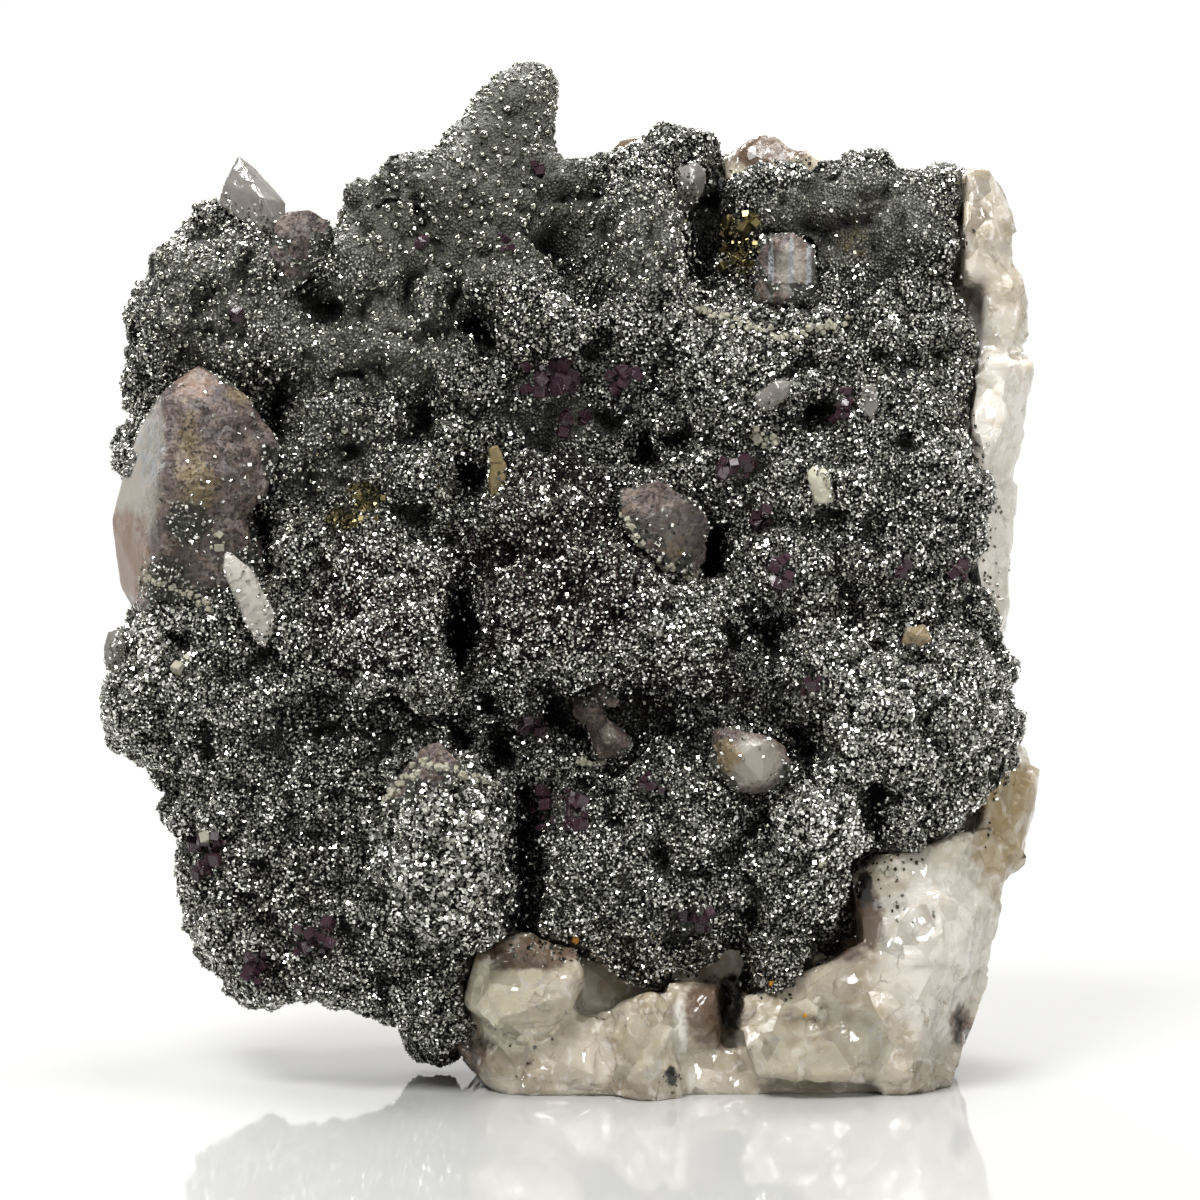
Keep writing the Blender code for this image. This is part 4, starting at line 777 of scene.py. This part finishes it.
def grain_tree():
    """The rule that sows grains over a surface: how close, how big, how turned and how bright they are."""
    tree = bpy.data.node_groups.new('Sow grains', 'GeometryNodeTree')
    for name, kind in (
        ('Ground', 'NodeSocketGeometry'), ('Distance', 'NodeSocketFloat'),
        ('Most per square metre', 'NodeSocketFloat'),
        ('Share', 'NodeSocketString'), ('Lowest', 'NodeSocketFloat'), ('Highest', 'NodeSocketFloat'),
        ('Size', 'NodeSocketFloat'), ('Rounded', 'NodeSocketBool'), ('Seed', 'NodeSocketInt'),
        ('Finish', 'NodeSocketMaterial'),
    ):
        tree.interface.new_socket(name=name, in_out='INPUT', socket_type=kind)
    tree.interface.new_socket(name='Grains', in_out='OUTPUT', socket_type='NodeSocketGeometry')
    given = add(tree, 'NodeGroupInput').outputs

    place = add(tree, 'GeometryNodeInputPosition')
    height = add(tree, 'ShaderNodeSeparateXYZ', {0: place.outputs[0]}).outputs['Z']
    above = add(tree, 'FunctionNodeCompare', {0: height, 1: given['Lowest']}, operation='GREATER_EQUAL')
    below = add(tree, 'FunctionNodeCompare', {0: height, 1: given['Highest']}, operation='LESS_THAN')
    band = add(tree, 'FunctionNodeBooleanMath', {0: above.outputs[0], 1: below.outputs[0]}, operation='AND')
    share = add(tree, 'GeometryNodeInputNamedAttribute', {'Name': given['Share']}, data_type='FLOAT')
    in_band = add(tree, 'ShaderNodeMath', {0: share.outputs[0], 1: band.outputs[0]}, operation='MULTIPLY')
    sown = add(tree, 'GeometryNodeDistributePointsOnFaces', {
        'Mesh': given['Ground'], 'Distance Min': given['Distance'],
        'Density Max': given['Most per square metre'], 'Density Factor': in_band.outputs[0], 'Seed': given['Seed'],
    }, distribute_method='POISSON')

    # The tone of a grain is random, plus the surface's tone attribute, which carries painted shade: darker grains in
    # hollows, lighter ones on ridges
    bright = add(tree, 'GeometryNodeInputNamedAttribute', {'Name': 'bright'}, data_type='FLOAT')
    chance = add(tree, 'FunctionNodeRandomValue', {2: 0.0, 3: 1.0, 'Seed': given['Seed']}, data_type='FLOAT')
    mostly_dark = add(tree, 'ShaderNodeMath', {0: chance.outputs[1], 1: 1.55}, operation='POWER')
    lift = add(tree, 'ShaderNodeMath', {0: bright.outputs[0], 1: 0.5}, operation='MULTIPLY')
    tone = add(tree, 'ShaderNodeMath', {0: mostly_dark.outputs[0], 1: lift.outputs[0]}, operation='ADD')
    toned = add(tree, 'GeometryNodeStoreNamedAttribute', {
        'Geometry': sown.outputs['Points'], 'Name': 'tone', 'Value': tone.outputs[0],
    }, data_type='FLOAT', domain='POINT')

    cube = add(tree, 'GeometryNodeMeshCube', {'Size': (0.9, 0.9, 0.9)})
    octahedron = add(tree, 'GeometryNodeMeshUVSphere', {'Segments': 4, 'Rings': 2, 'Radius': 0.72})
    crystals = add(tree, 'GeometryNodeGeometryToInstance')
    tree.links.new(cube.outputs['Mesh'], crystals.inputs[0])
    tree.links.new(octahedron.outputs['Mesh'], crystals.inputs[0])
    bead = add(tree, 'GeometryNodeMeshIcoSphere', {'Radius': 0.5, 'Subdivisions': 2})
    smooth_bead = add(tree, 'GeometryNodeSetShadeSmooth', {'Geometry': bead.outputs['Mesh']})
    one_bead = add(tree, 'GeometryNodeGeometryToInstance', {0: smooth_bead.outputs[0]})
    shape = add(tree, 'GeometryNodeSwitch', {
        'Switch': given['Rounded'], 'False': crystals.outputs[0], 'True': one_bead.outputs[0],
    }, input_type='GEOMETRY')

    turn = add(tree, 'FunctionNodeRandomValue', {0: (0, 0, 0), 1: (6.28, 6.28, 6.28)}, data_type='FLOAT_VECTOR')
    coarse = add(tree, 'GeometryNodeInputNamedAttribute', {'Name': 'coarse'}, data_type='FLOAT')
    growth = add(tree, 'ShaderNodeMath', {0: coarse.outputs[0], 1: 0.45, 2: 1.0}, operation='MULTIPLY_ADD')
    size = add(tree, 'ShaderNodeMath', {0: growth.outputs[0], 1: given['Size']}, operation='MULTIPLY')
    uneven = add(tree, 'FunctionNodeRandomValue', {0: (0.4, 0.4, 0.4), 1: (1.3, 1.3, 1.3)}, data_type='FLOAT_VECTOR')
    scale = add(tree, 'ShaderNodeVectorMath', {0: uneven.outputs[0], 'Scale': size.outputs[0]}, operation='SCALE')
    which = add(tree, 'FunctionNodeRandomValue', {4: 0, 5: 1, 'Seed': 9}, data_type='INT')
    set_out = add(tree, 'GeometryNodeInstanceOnPoints', {
        'Points': toned.outputs[0], 'Instance': shape.outputs[0], 'Pick Instance': True,
        'Instance Index': which.outputs[2], 'Rotation': turn.outputs[0], 'Scale': scale.outputs[0],
    })
    real = add(tree, 'GeometryNodeRealizeInstances', {0: set_out.outputs[0]})
    dressed = add(tree, 'GeometryNodeSetMaterial', {'Geometry': real.outputs[0], 'Material': given['Finish']})
    add(tree, 'NodeGroupOutput', {'Grains': dressed.outputs[0]})
    return tree


def sow(ground, name, rule, values):
    """A mesh of grains sown over the ground by the rule with these input values."""
    obj = add_object(name, ground.data)
    modifier = obj.modifiers.new('Sow', 'NODES')
    modifier.node_group = rule
    sockets = {item.name: item.identifier for item in rule.interface.items_tree}
    for label, value in values.items():
        modifier[sockets[label]] = value
    baked(obj)
    return obj


# Pieces

class SpecimenSettings(bpy.types.PropertyGroup):
    """Sizes and colours of the specimen that a user may change."""
    grain_size: bpy.props.FloatProperty(
        name='Grain size', description='Edge of a pyrite crystal of the fine druse',
        default=0.36 * MM, min=0.2 * MM, max=2 * MM, unit='LENGTH', precision=5)
    grain_distance: bpy.props.FloatProperty(
        name='Grain distance', description='Least distance between two grains of the fine druse',
        default=0.3 * MM, min=0.2 * MM, max=3 * MM, unit='LENGTH', precision=5)
    bead_size: bpy.props.FloatProperty(
        name='Bead size', description='Width of the rounded pyrite beads of the back and the lobe',
        default=0.95 * MM, min=0.3 * MM, max=3 * MM, unit='LENGTH', precision=5)
    crust_detail: bpy.props.FloatProperty(
        name='Crust detail', description='Width of the mesh cells of the crust',
        default=0.64 * MM, min=0.5 * MM, max=3 * MM, unit='LENGTH', precision=5)
    quartz_detail: bpy.props.FloatProperty(
        name='Quartz detail', description='Width of the mesh cells of the quartz',
        default=0.65 * MM, min=0.5 * MM, max=5 * MM, unit='LENGTH', precision=5)
    key_power: bpy.props.FloatProperty(
        name='Key light', description='Power of the large soft light at the front left',
        default=20.0, min=0.0, unit='POWER')


class SPECIMEN_OT_stage(bpy.types.Operator):
    """Make the white table with its sweep, the soft lights and the camera"""
    bl_idname = 'specimen.stage'
    bl_label = 'Make the studio'

    def execute(self, context):
        add_sweep()
        add_lights(context.scene.specimen.key_power)
        add_world(context.scene)
        add_camera(context.scene)
        limit_bounces(context.scene.cycles)
        context.scene.view_settings.view_transform = 'Standard'
        return {'FINISHED'}


def add_sweep():
    """The white table top, which curves up into the background."""
    half_width, front, bend, bend_radius, top = 2.2, -1.6, 1.2, 0.5, 2.4
    profile = [(front, 0.0), (bend, 0.0)]
    for step in range(1, 13):
        angle = math.pi / 2 * step / 12
        profile.append((bend + bend_radius * math.sin(angle), bend_radius * (1 - math.cos(angle))))
    profile.append((bend + bend_radius, top))
    bm = bmesh.new()
    rows = [[bm.verts.new((x, y, z)) for x in (-half_width, half_width)] for y, z in profile]
    for lower, upper in zip(rows, rows[1:]):
        bm.faces.new((lower[0], lower[1], upper[1], upper[0]))
    mesh = bpy.data.meshes.new('studio_sweep')
    bm.to_mesh(mesh)
    bm.free()
    mesh.shade_smooth()
    mesh.materials.append(studio_paint())
    add_object('studio_sweep', mesh)


def add_lights(key_power):
    """A big soft key light at the top left, a weaker fill, a top light and lights for the background."""
    middle = Vector((0.0, 0.0, 0.055))
    for name, place, size, power in (
        ('key light', (-0.4, -0.6, 1.15), 0.5, key_power),
        ('fill light', (0.9, -1.0, 0.5), 0.8, 0.35 * key_power),
        ('top light', (0.25, 0.05, 1.2), 0.6, 0.6 * key_power),
        ('back light', (-0.5, 1.1, 0.9), 0.8, 0.9 * key_power),
    ):
        lamp = bpy.data.lights.new(name, 'AREA')
        lamp.size = size
        lamp.energy = power
        obj = bpy.data.objects.new(name, lamp)
        obj.location = place
        obj.rotation_euler = (middle - Vector(place)).to_track_quat('-Z', 'Y').to_euler()
        bpy.context.scene.collection.objects.link(obj)


def add_world(scene):
    """A pale room: brighter overhead than at the horizon."""
    world = bpy.data.worlds.new('pale room')
    scene.world = world
    world.use_nodes = True
    tree = world.node_tree
    direction = add(tree, 'ShaderNodeTexCoord').outputs['Generated']
    height = add(tree, 'ShaderNodeSeparateXYZ', {0: direction}).outputs['Z']
    share = add(tree, 'ShaderNodeMapRange', {'Value': height, 'From Min': 0.0, 'From Max': 0.8})
    colour = add(tree, 'ShaderNodeMix', {0: share.outputs[0], 6: (0.14, 0.14, 0.14, 1), 7: (0.4, 0.4, 0.4, 1)},
                 data_type='RGBA')
    tree.links.new(colour.outputs[2], tree.nodes['Background'].inputs['Color'])


def limit_bounces(light_paths):
    """Let light bounce only as often as the stone shows, so that a final render stays short."""
    light_paths.max_bounces = 4
    light_paths.diffuse_bounces = 2
    light_paths.glossy_bounces = 2
    light_paths.transmission_bounces = 4
    light_paths.use_light_tree = False


def add_camera(scene):
    """The camera where the viewer of the photograph stands."""
    camera = bpy.data.cameras.new('camera')
    camera.lens = LENS
    camera.clip_start = 0.01
    obj = bpy.data.objects.new('camera', camera)
    eye = Vector((FRAME_SHIFT + (0.0, -VIEW_DISTANCE, VIEW_HEIGHT)) * MM)
    obj.location = eye
    obj.rotation_euler = (placed(AIM[0], 0.0, AIM[1]) - eye).to_track_quat('-Z', 'Y').to_euler()
    scene.collection.objects.link(obj)
    scene.camera = obj


def creeping(points, away, reach):
    """The share of grains that creep over a stone from the crust: uneven tongues about this many mm long."""
    bends = np.array([noise.noise(Vector(point) / (2.5 * MM)) for point in points])
    return np.clip((reach * (1.0 + 1.6 * bends) - away) / 0.5, 0.0, 0.9)


class SPECIMEN_OT_matrix(bpy.types.Operator):
    """Make the pale broken quartz: base, right flank, crest and back"""
    bl_idname = 'specimen.matrix'
    bl_label = 'Make the quartz matrix'

    def execute(self, context):
        obj = even_copy('quartz_matrix', 'milky_quartz_matrix', context.scene.specimen.quartz_detail, 1)
        points = vertices_of(obj.data)
        away = clearance(points, [frame['nodes']['pyrite_crust']])
        standing = np.clip((points[:, 2] / MM - 0.2) / 1.5, 0.0, 1.0)
        free = np.clip(away - 0.4, 0.0, 1.0) * standing
        behind = np.clip(2.0 * normals_of(obj.data)[:, 1] - 0.4, 0.0, 1.0)
        raise_relief(obj.data, back_height, free * behind)
        raise_relief(obj.data, quartz_height, free)
        keep_inside(obj.data)
        points = vertices_of(obj.data)
        set_attribute(obj.data, 'tan', covered(points, FLANK_TAN_ZONES))
        set_attribute(obj.data, 'brown', covered(points, BASE_BROWN_ZONES))
        set_attribute(obj.data, 'soot', covered(points, DARK_PATCH_ZONES))
        set_attribute(obj.data, 'clear', covered(points, CLEAR_ZONES))
        set_attribute(obj.data, 'white', covered(points, WHITE_ZONES))
        set_attribute(obj.data, 'dust', np.maximum(covered(points, SPECKLE_ZONES), creeping(points, away, 0.8)) * (away > 0.5))
        set_attribute(obj.data, 'bright', np.full(len(points), -1.0))
        set_attribute(obj.data, 'coarse', np.zeros(len(points)))
        set_attribute(obj.data, 'gold', np.zeros(len(points)))
        shade(obj.data, 50)
        obj.data.materials.append(milky_quartz())
        finish_piece(obj, ['quartz_matrix'])
        return {'FINISHED'}


class SPECIMEN_OT_crust(bpy.types.Operator):
    """Make the dark ground of the druse, with its knobs and clefts"""
    bl_idname = 'specimen.crust'
    bl_label = 'Make the crust'

    def execute(self, context):
        obj = even_copy('pyrite_crust', 'pyrite_druse_ground', context.scene.specimen.crust_detail, 3)
        points = vertices_of(obj.data)
        crystals = [node for name, node in frame['nodes'].items() if name not in ('pyrite_crust', 'quartz_matrix')]
        beside = np.clip(clearance(points, crystals) / 1.6, 0.15, 1.0)
        raise_relief(obj.data, druse_height, beside * (1.0 - covered(points, SLIM_ZONES)))
        mould_front(obj.data, frame['nodes']['quartz_matrix'], beside)
        keep_inside(obj.data)
        points = vertices_of(obj.data)
        away = clearance(points, [frame['nodes']['quartz_matrix']])
        open_air = np.clip((away - 0.5) / 0.5, 0.0, 1.0)
        depth = hollowness(obj, 60)
        gaps = hollowness(obj, 8)
        # How deep each vertex lies in a hollow: it thins the grains there, and the ground paints it as shade
        hollow = np.maximum(np.clip((depth - 0.1) / 1.0, 0.0, 1.0), np.clip((gaps - 0.05) / 0.25, 0.0, 0.7))
        bare = covered(points, [(x, z, wide + 0.6, high + 0.6, 0.6) for x, z, wide, high, *_ in PURPLE_CLUSTERS])
        set_attribute(obj.data, 'hollow', hollow)
        # Where fine crystal faces and grains grow: fewer in hollows, so the ground there also turns to its darker matte
        # colour, a painted shade
        set_attribute(obj.data, 'fine',
                      open_air * (1.0 - covered(points, THIN_ZONES)) * (1.0 - 0.8 * hollow) * (1.0 - bare))
        set_attribute(obj.data, 'bead', open_air * covered(points, BEAD_ZONES) * (1.0 - 0.8 * hollow))
        # Grain tone, lifted in the bright zones; on top of that painted shade and light, darker the deeper a hollow and
        # lighter on ridges
        set_attribute(obj.data, 'bright', 0.7 * covered(points, BRIGHT_ZONES) - 0.9 * np.clip(depth, -0.4, 1.0))
        set_attribute(obj.data, 'coarse', covered(points, COARSE_ZONES))
        set_attribute(obj.data, 'gold', covered(points, GOLD_ZONES))
        set_attribute(obj.data, 'warm', covered(points, WARM_ZONES))
        obj.data.shade_smooth()
        obj.data.materials.append(druse_ground())
        finish_piece(obj, ['pyrite_crust'])
        return {'FINISHED'}


FLUORITE_NODES = (
    'fluorite_crystal_left', 'fluorite_cluster_centre', 'fluorite_crystal_top_left', 'fluorite_cube_top_right',
    'fluorite_blade_centre', 'fluorite_wedge_lower_left', 'fluorite_cube_lower_right', 'fluorite_cube_right_mound',
)


def dressed_crystal(node, name, material, height, cell=0.22):
    """A crystal of the CAD with fine relief on its faces and this finish."""
    obj = even_copy(node, name, cell * MM, 1)
    smooth = covered(vertices_of(obj.data), PALE_ZONES + PINK_ZONES)
    raise_relief(obj.data, height, 1.0 - 0.9 * smooth)
    keep_inside(obj.data)
    points = vertices_of(obj.data)
    away = clearance(points, [bpy.data.objects['pyrite_druse_ground']])
    set_attribute(obj.data, 'smooth', smooth)
    set_attribute(obj.data, 'tan', covered(points, TAN_ZONES))
    set_attribute(obj.data, 'pale', covered(points, PALE_ZONES))
    set_attribute(obj.data, 'pink', covered(points, PINK_ZONES))
    set_attribute(obj.data, 'streak', covered(points, STREAK_ZONES))
    set_attribute(obj.data, 'dust', np.maximum(covered(points, DUST_ZONES), creeping(points, away, 2.0)))
    set_attribute(obj.data, 'bright', np.full(len(points), 0.2))
    set_attribute(obj.data, 'coarse', np.zeros(len(points)))
    set_attribute(obj.data, 'gold', np.zeros(len(points)))
    shade(obj.data, 24)
    obj.data.materials.append(material)
    finish_piece(obj, [node])
    return obj


class SPECIMEN_OT_fluorite(bpy.types.Operator):
    """Make the purple-brown fluorite crystals that stand through the crust"""
    bl_idname = 'specimen.fluorite'
    bl_label = 'Make the fluorite crystals'

    def execute(self, context):
        material = dusty_fluorite()
        for node in FLUORITE_NODES:
            cell = 0.32 if node == 'fluorite_crystal_left' else 0.22
            dressed_crystal(node, f'dusty_{node}', material, crystal_height, cell)
        return {'FINISHED'}


class SPECIMEN_OT_quartz_crystals(bpy.types.Operator):
    """Make the small quartz crystals, the white plate and the tan blade"""
    bl_idname = 'specimen.quartz_crystals'
    bl_label = 'Make the quartz crystals'

    def execute(self, context):
        # Clear rock crystal, a little smoky and veiled
        clear = stone('clear quartz, veiled', CLEAR_QUARTZ, 0.12, 1.544, 0.45, 2.5)
        # Calcite or quartz plate with a satin broken face
        plate = stone('white plate, satin', WHITE_CALCITE, 0.35, 1.54, 0.15, 1.2)
        # Siderite-like blade, dull and waxy
        blade = stone('tan blade, waxy', TAN_BLADE, 0.4, 1.5, 0.0, 0.8)
        # Cream-white vein quartz, waxy
        cream = stone('cream quartz grain, waxy', PALE_GRAIN, 0.3, 1.544, 0.1, 0.6)
        for node in ('quartz_point_top_left', 'quartz_crystal_top', 'quartz_crystal_left_edge',
                     'quartz_prism_right', 'quartz_crystal_pink'):
            dressed_crystal(node, f'clear_{node}', clear, fine_height)
        dressed_crystal('quartz_grain_right', 'cream_quartz_grain_right', cream, plate_height)
        dressed_crystal('quartz_plate_left', 'white_quartz_plate_left', plate, plate_height)
        dressed_crystal('tan_blade_centre', 'waxy_tan_blade_centre', blade, crystal_height)
        return {'FINISHED'}


def front_point(tree, x, z):
    """The frontmost point of a surface that the viewer sees at x, z, or None."""
    eye = Vector((FRAME_SHIFT + (0.0, -VIEW_DISTANCE, VIEW_HEIGHT)) * MM)
    hit = tree.ray_cast(eye, (placed(x, 0.0, z) - eye).normalized())
    return hit[0]


def specimen_trees():
    """Search trees over the pieces that the viewer sees from the front."""
    pieces = [obj for obj in bpy.data.objects if obj.name.startswith(('pyrite_druse', 'milky', 'dusty'))]
    return [tree_of(obj) for obj in pieces]


def frontmost(trees, x, z):
    """The point of these surfaces that the viewer sees at x, z."""
    points = [point for point in (front_point(tree, x, z) for tree in trees) if point]
    return min(points, key=lambda point: point.y)


def along(route, step):
    """Places along a route of straight runs, about this far apart."""
    for (x, z), (next_x, next_z) in zip(route, route[1:]):
        count = max(1, round(math.hypot(next_x - x, next_z - z) / step))
        for number in range(count):
            yield x + (next_x - x) * number / count, z + (next_z - z) * number / count


def scatter_cubes(name, clusters, material, ground, seed):
    """Small cubes in clusters, half sunk where the viewer sees the ground."""
    steady = random.Random(seed)
    bm = bmesh.new()
    for middle_x, middle_z, half_width, half_height, count, edge in clusters:
        for _ in range(count):
            x = middle_x + half_width * steady.uniform(-1, 1)
            z = middle_z + half_height * steady.uniform(-1, 1)
            point = frontmost(ground, x, z)
            turn = Euler([steady.uniform(0, math.pi) for _ in range(3)]).to_matrix().to_4x4()
            size = edge * steady.uniform(0.4, 1.15) * MM
            turn.translation = point - Vector((0.0, 0.2 * size, 0.0))
            made = bmesh.ops.create_cube(bm, size=size, matrix=turn)
            edges = list(dict.fromkeys(side for vert in made['verts'] for side in vert.link_edges))
            bmesh.ops.bevel(bm, geom=edges, offset=0.06 * size, segments=1, affect='EDGES')
    mesh = bpy.data.meshes.new(name)
    bmesh.ops.triangulate(bm, faces=bm.faces)
    bm.to_mesh(mesh)
    bm.free()
    mesh.materials.append(material)
    finish_piece(add_object(name, mesh))


class SPECIMEN_OT_small_cubes(bpy.types.Operator):
    """Make the clusters of small purple, pale and golden cubes"""
    bl_idname = 'specimen.small_cubes'
    bl_label = 'Make the small cubes'

    def execute(self, context):
        ground = specimen_trees()
        # Fresh fluorite, wine-dark and glassy
        purple = stone('deep purple fluorite', FLUORITE_DEEP, 0.1, 1.434, 0.2, 0.6)
        # Milky druse quartz
        pale = stone('pale druse quartz', PALE_DRUSE, 0.25, 1.544, 0.3, 0.5)
        gold = bpy.data.materials.new('fresh golden pyrite')
        gold.use_nodes = True
        shader = gold.node_tree.nodes['Principled BSDF']
        shader.inputs['Base Color'].default_value = linear(PYRITE_GOLD)
        shader.inputs['Metallic'].default_value = 1.0
        shader.inputs['Roughness'].default_value = 0.3
        scatter_cubes('purple_fluorite_cubes', PURPLE_CLUSTERS, purple, ground, 3)
        rims = tuple((x, z, 0.5, 0.5, 3, 0.55) for route in PALE_RIMS for x, z in along(route, 0.8))
        scatter_cubes('pale_druse_cubes', PALE_CLUSTERS + rims, pale, ground, 4)
        scatter_cubes('golden_pyrite_cubes', GOLD_CLUSTERS, gold, ground, 5)
        return {'FINISHED'}


class SPECIMEN_OT_grains(bpy.types.Operator):
    """Sow the pyrite grains: the fine druse, the rounded beads and the dust on the crystals"""
    bl_idname = 'specimen.grains'
    bl_label = 'Sow the pyrite grains'

    def execute(self, context):
        settings = context.scene.specimen
        rule = grain_tree()
        finish = pyrite_crystal()
        ground = bpy.data.objects['pyrite_druse_ground']
        top = CAD_BOX[1][2]
        bands = [0.5 * MM] + [top * share for share in (0.17, 0.29, 0.4, 0.51, 0.62, 0.75, 1.1)]
        for number, (lowest, highest) in enumerate(zip(bands, bands[1:]), 1):
            grains = sow(ground, f'fine_pyrite_grains_{number}', rule, {
                'Distance': settings.grain_distance, 'Most per square metre': 8e6, 'Share': 'fine',
                'Lowest': lowest, 'Highest': highest, 'Size': settings.grain_size,
                'Rounded': False, 'Seed': number, 'Finish': finish,
            })
            finish_piece(grains)
        beads = sow(ground, 'pyrite_beads', rule, {
            'Distance': 1.15 * settings.bead_size, 'Most per square metre': 1.5e6, 'Share': 'bead',
            'Lowest': 0.5 * MM, 'Highest': 1.0, 'Size': settings.bead_size,
            'Rounded': True, 'Seed': 21, 'Finish': pyrite_bead(),
        })
        finish_piece(beads)
        crystals = [obj for obj in bpy.data.objects if 'dust' in getattr(obj.data, 'attributes', ())]
        for number, crystal in enumerate(crystals):
            dust = sow(crystal, f'pyrite_dust_{crystal.name}', rule, {
                'Distance': settings.grain_distance, 'Most per square metre': 8e6, 'Share': 'dust',
                'Lowest': 0.5 * MM, 'Highest': 1.0, 'Size': settings.grain_size,
                'Rounded': False, 'Seed': 40 + number, 'Finish': finish,
            })
            if len(dust.data.vertices):
                finish_piece(dust)
            else:
                bpy.data.objects.remove(dust)
        return {'FINISHED'}


class SPECIMEN_OT_crumbs(bpy.types.Operator):
    """Make the orange crumbs and the two stray threads of lint"""
    bl_idname = 'specimen.crumbs'
    bl_label = 'Make the crumbs and lint'

    def execute(self, context):
        surfaces = specimen_trees()
        steady = random.Random(8)
        bm = bmesh.new()
        for x, z, size in CRUMBS:
            place = frontmost(surfaces, x, z)
            made = bmesh.ops.create_icosphere(bm, subdivisions=2, radius=size * MM)
            for vert in made['verts']:
                vert.co = place + vert.co * steady.uniform(0.75, 1.15)
        mesh = bpy.data.meshes.new('orange_crumbs')
        bm.to_mesh(mesh)
        bm.free()
        # Limonite, earthy and dull
        mesh.materials.append(stone('orange limonite, earthy', ORANGE_CRUMB, 0.8, 1.5, 0.0, 0.4))
        finish_piece(add_object('orange_crumbs', mesh))
        add_threads(surfaces)
        return {'FINISHED'}


def add_threads(surfaces):
    """The stray threads of lint that hang before the base."""
    curve = bpy.data.curves.new('lint', 'CURVE')
    curve.dimensions = '3D'
    curve.bevel_depth = 0.05 * MM
    for route in LINT_THREADS:
        spline = curve.splines.new('BEZIER')
        spline.bezier_points.add(len(route) - 1)
        for knot, (x, z) in zip(spline.bezier_points, route):
            knot.co = frontmost(surfaces, x, z) - Vector((0.0, 0.3 * MM, 0.0))
            knot.handle_left_type = 'AUTO'
            knot.handle_right_type = 'AUTO'
    guide = add_object('lint', curve)
    bpy.context.view_layer.update()
    mesh = bpy.data.meshes.new_from_object(guide.evaluated_get(bpy.context.evaluated_depsgraph_get()))
    bpy.data.objects.remove(guide)
    # Grey textile lint
    mesh.materials.append(stone('grey lint, fibrous', LINT, 0.9, 1.5, 0.0, 0.5))
    finish_piece(add_object('lint_threads', mesh))


class SPECIMEN_PT_panel(bpy.types.Panel):
    """The specimen's sizes and its pieces"""
    bl_idname = 'SPECIMEN_PT_panel'
    bl_label = 'Mineral specimen'
    bl_space_type = 'VIEW_3D'
    bl_region_type = 'UI'
    bl_category = 'Specimen'

    def draw(self, context):
        settings = context.scene.specimen
        for name in settings.bl_rna.properties.keys():
            if name not in ('name', 'rna_type'):
                self.layout.prop(settings, name)
        for operator in OPERATORS:
            self.layout.operator(operator.bl_idname)


OPERATORS = (
    SPECIMEN_OT_stage, SPECIMEN_OT_matrix, SPECIMEN_OT_crust, SPECIMEN_OT_fluorite,
    SPECIMEN_OT_quartz_crystals, SPECIMEN_OT_small_cubes, SPECIMEN_OT_grains, SPECIMEN_OT_crumbs,
)


def register():
    """Make the settings, the operators and the panel known to Blender."""
    for part in (SpecimenSettings, *OPERATORS, SPECIMEN_PT_panel):
        bpy.utils.register_class(part)
    bpy.types.Scene.specimen = bpy.props.PointerProperty(type=SpecimenSettings)


def unregister():
    """Take them out again."""
    del bpy.types.Scene.specimen
    for part in (SPECIMEN_PT_panel, *reversed(OPERATORS), SpecimenSettings):
        bpy.utils.unregister_class(part)


def main():
    """Make the whole scene."""
    register()
    noise.seed_set(NOISE_SEED)
    bpy.ops.specimen.stage()
    bpy.ops.specimen.matrix()
    bpy.ops.specimen.crust()
    bpy.ops.specimen.fluorite()
    bpy.ops.specimen.quartz_crystals()
    bpy.ops.specimen.small_cubes()
    bpy.ops.specimen.grains()
    bpy.ops.specimen.crumbs()


if __name__ == '__main__':
    main()
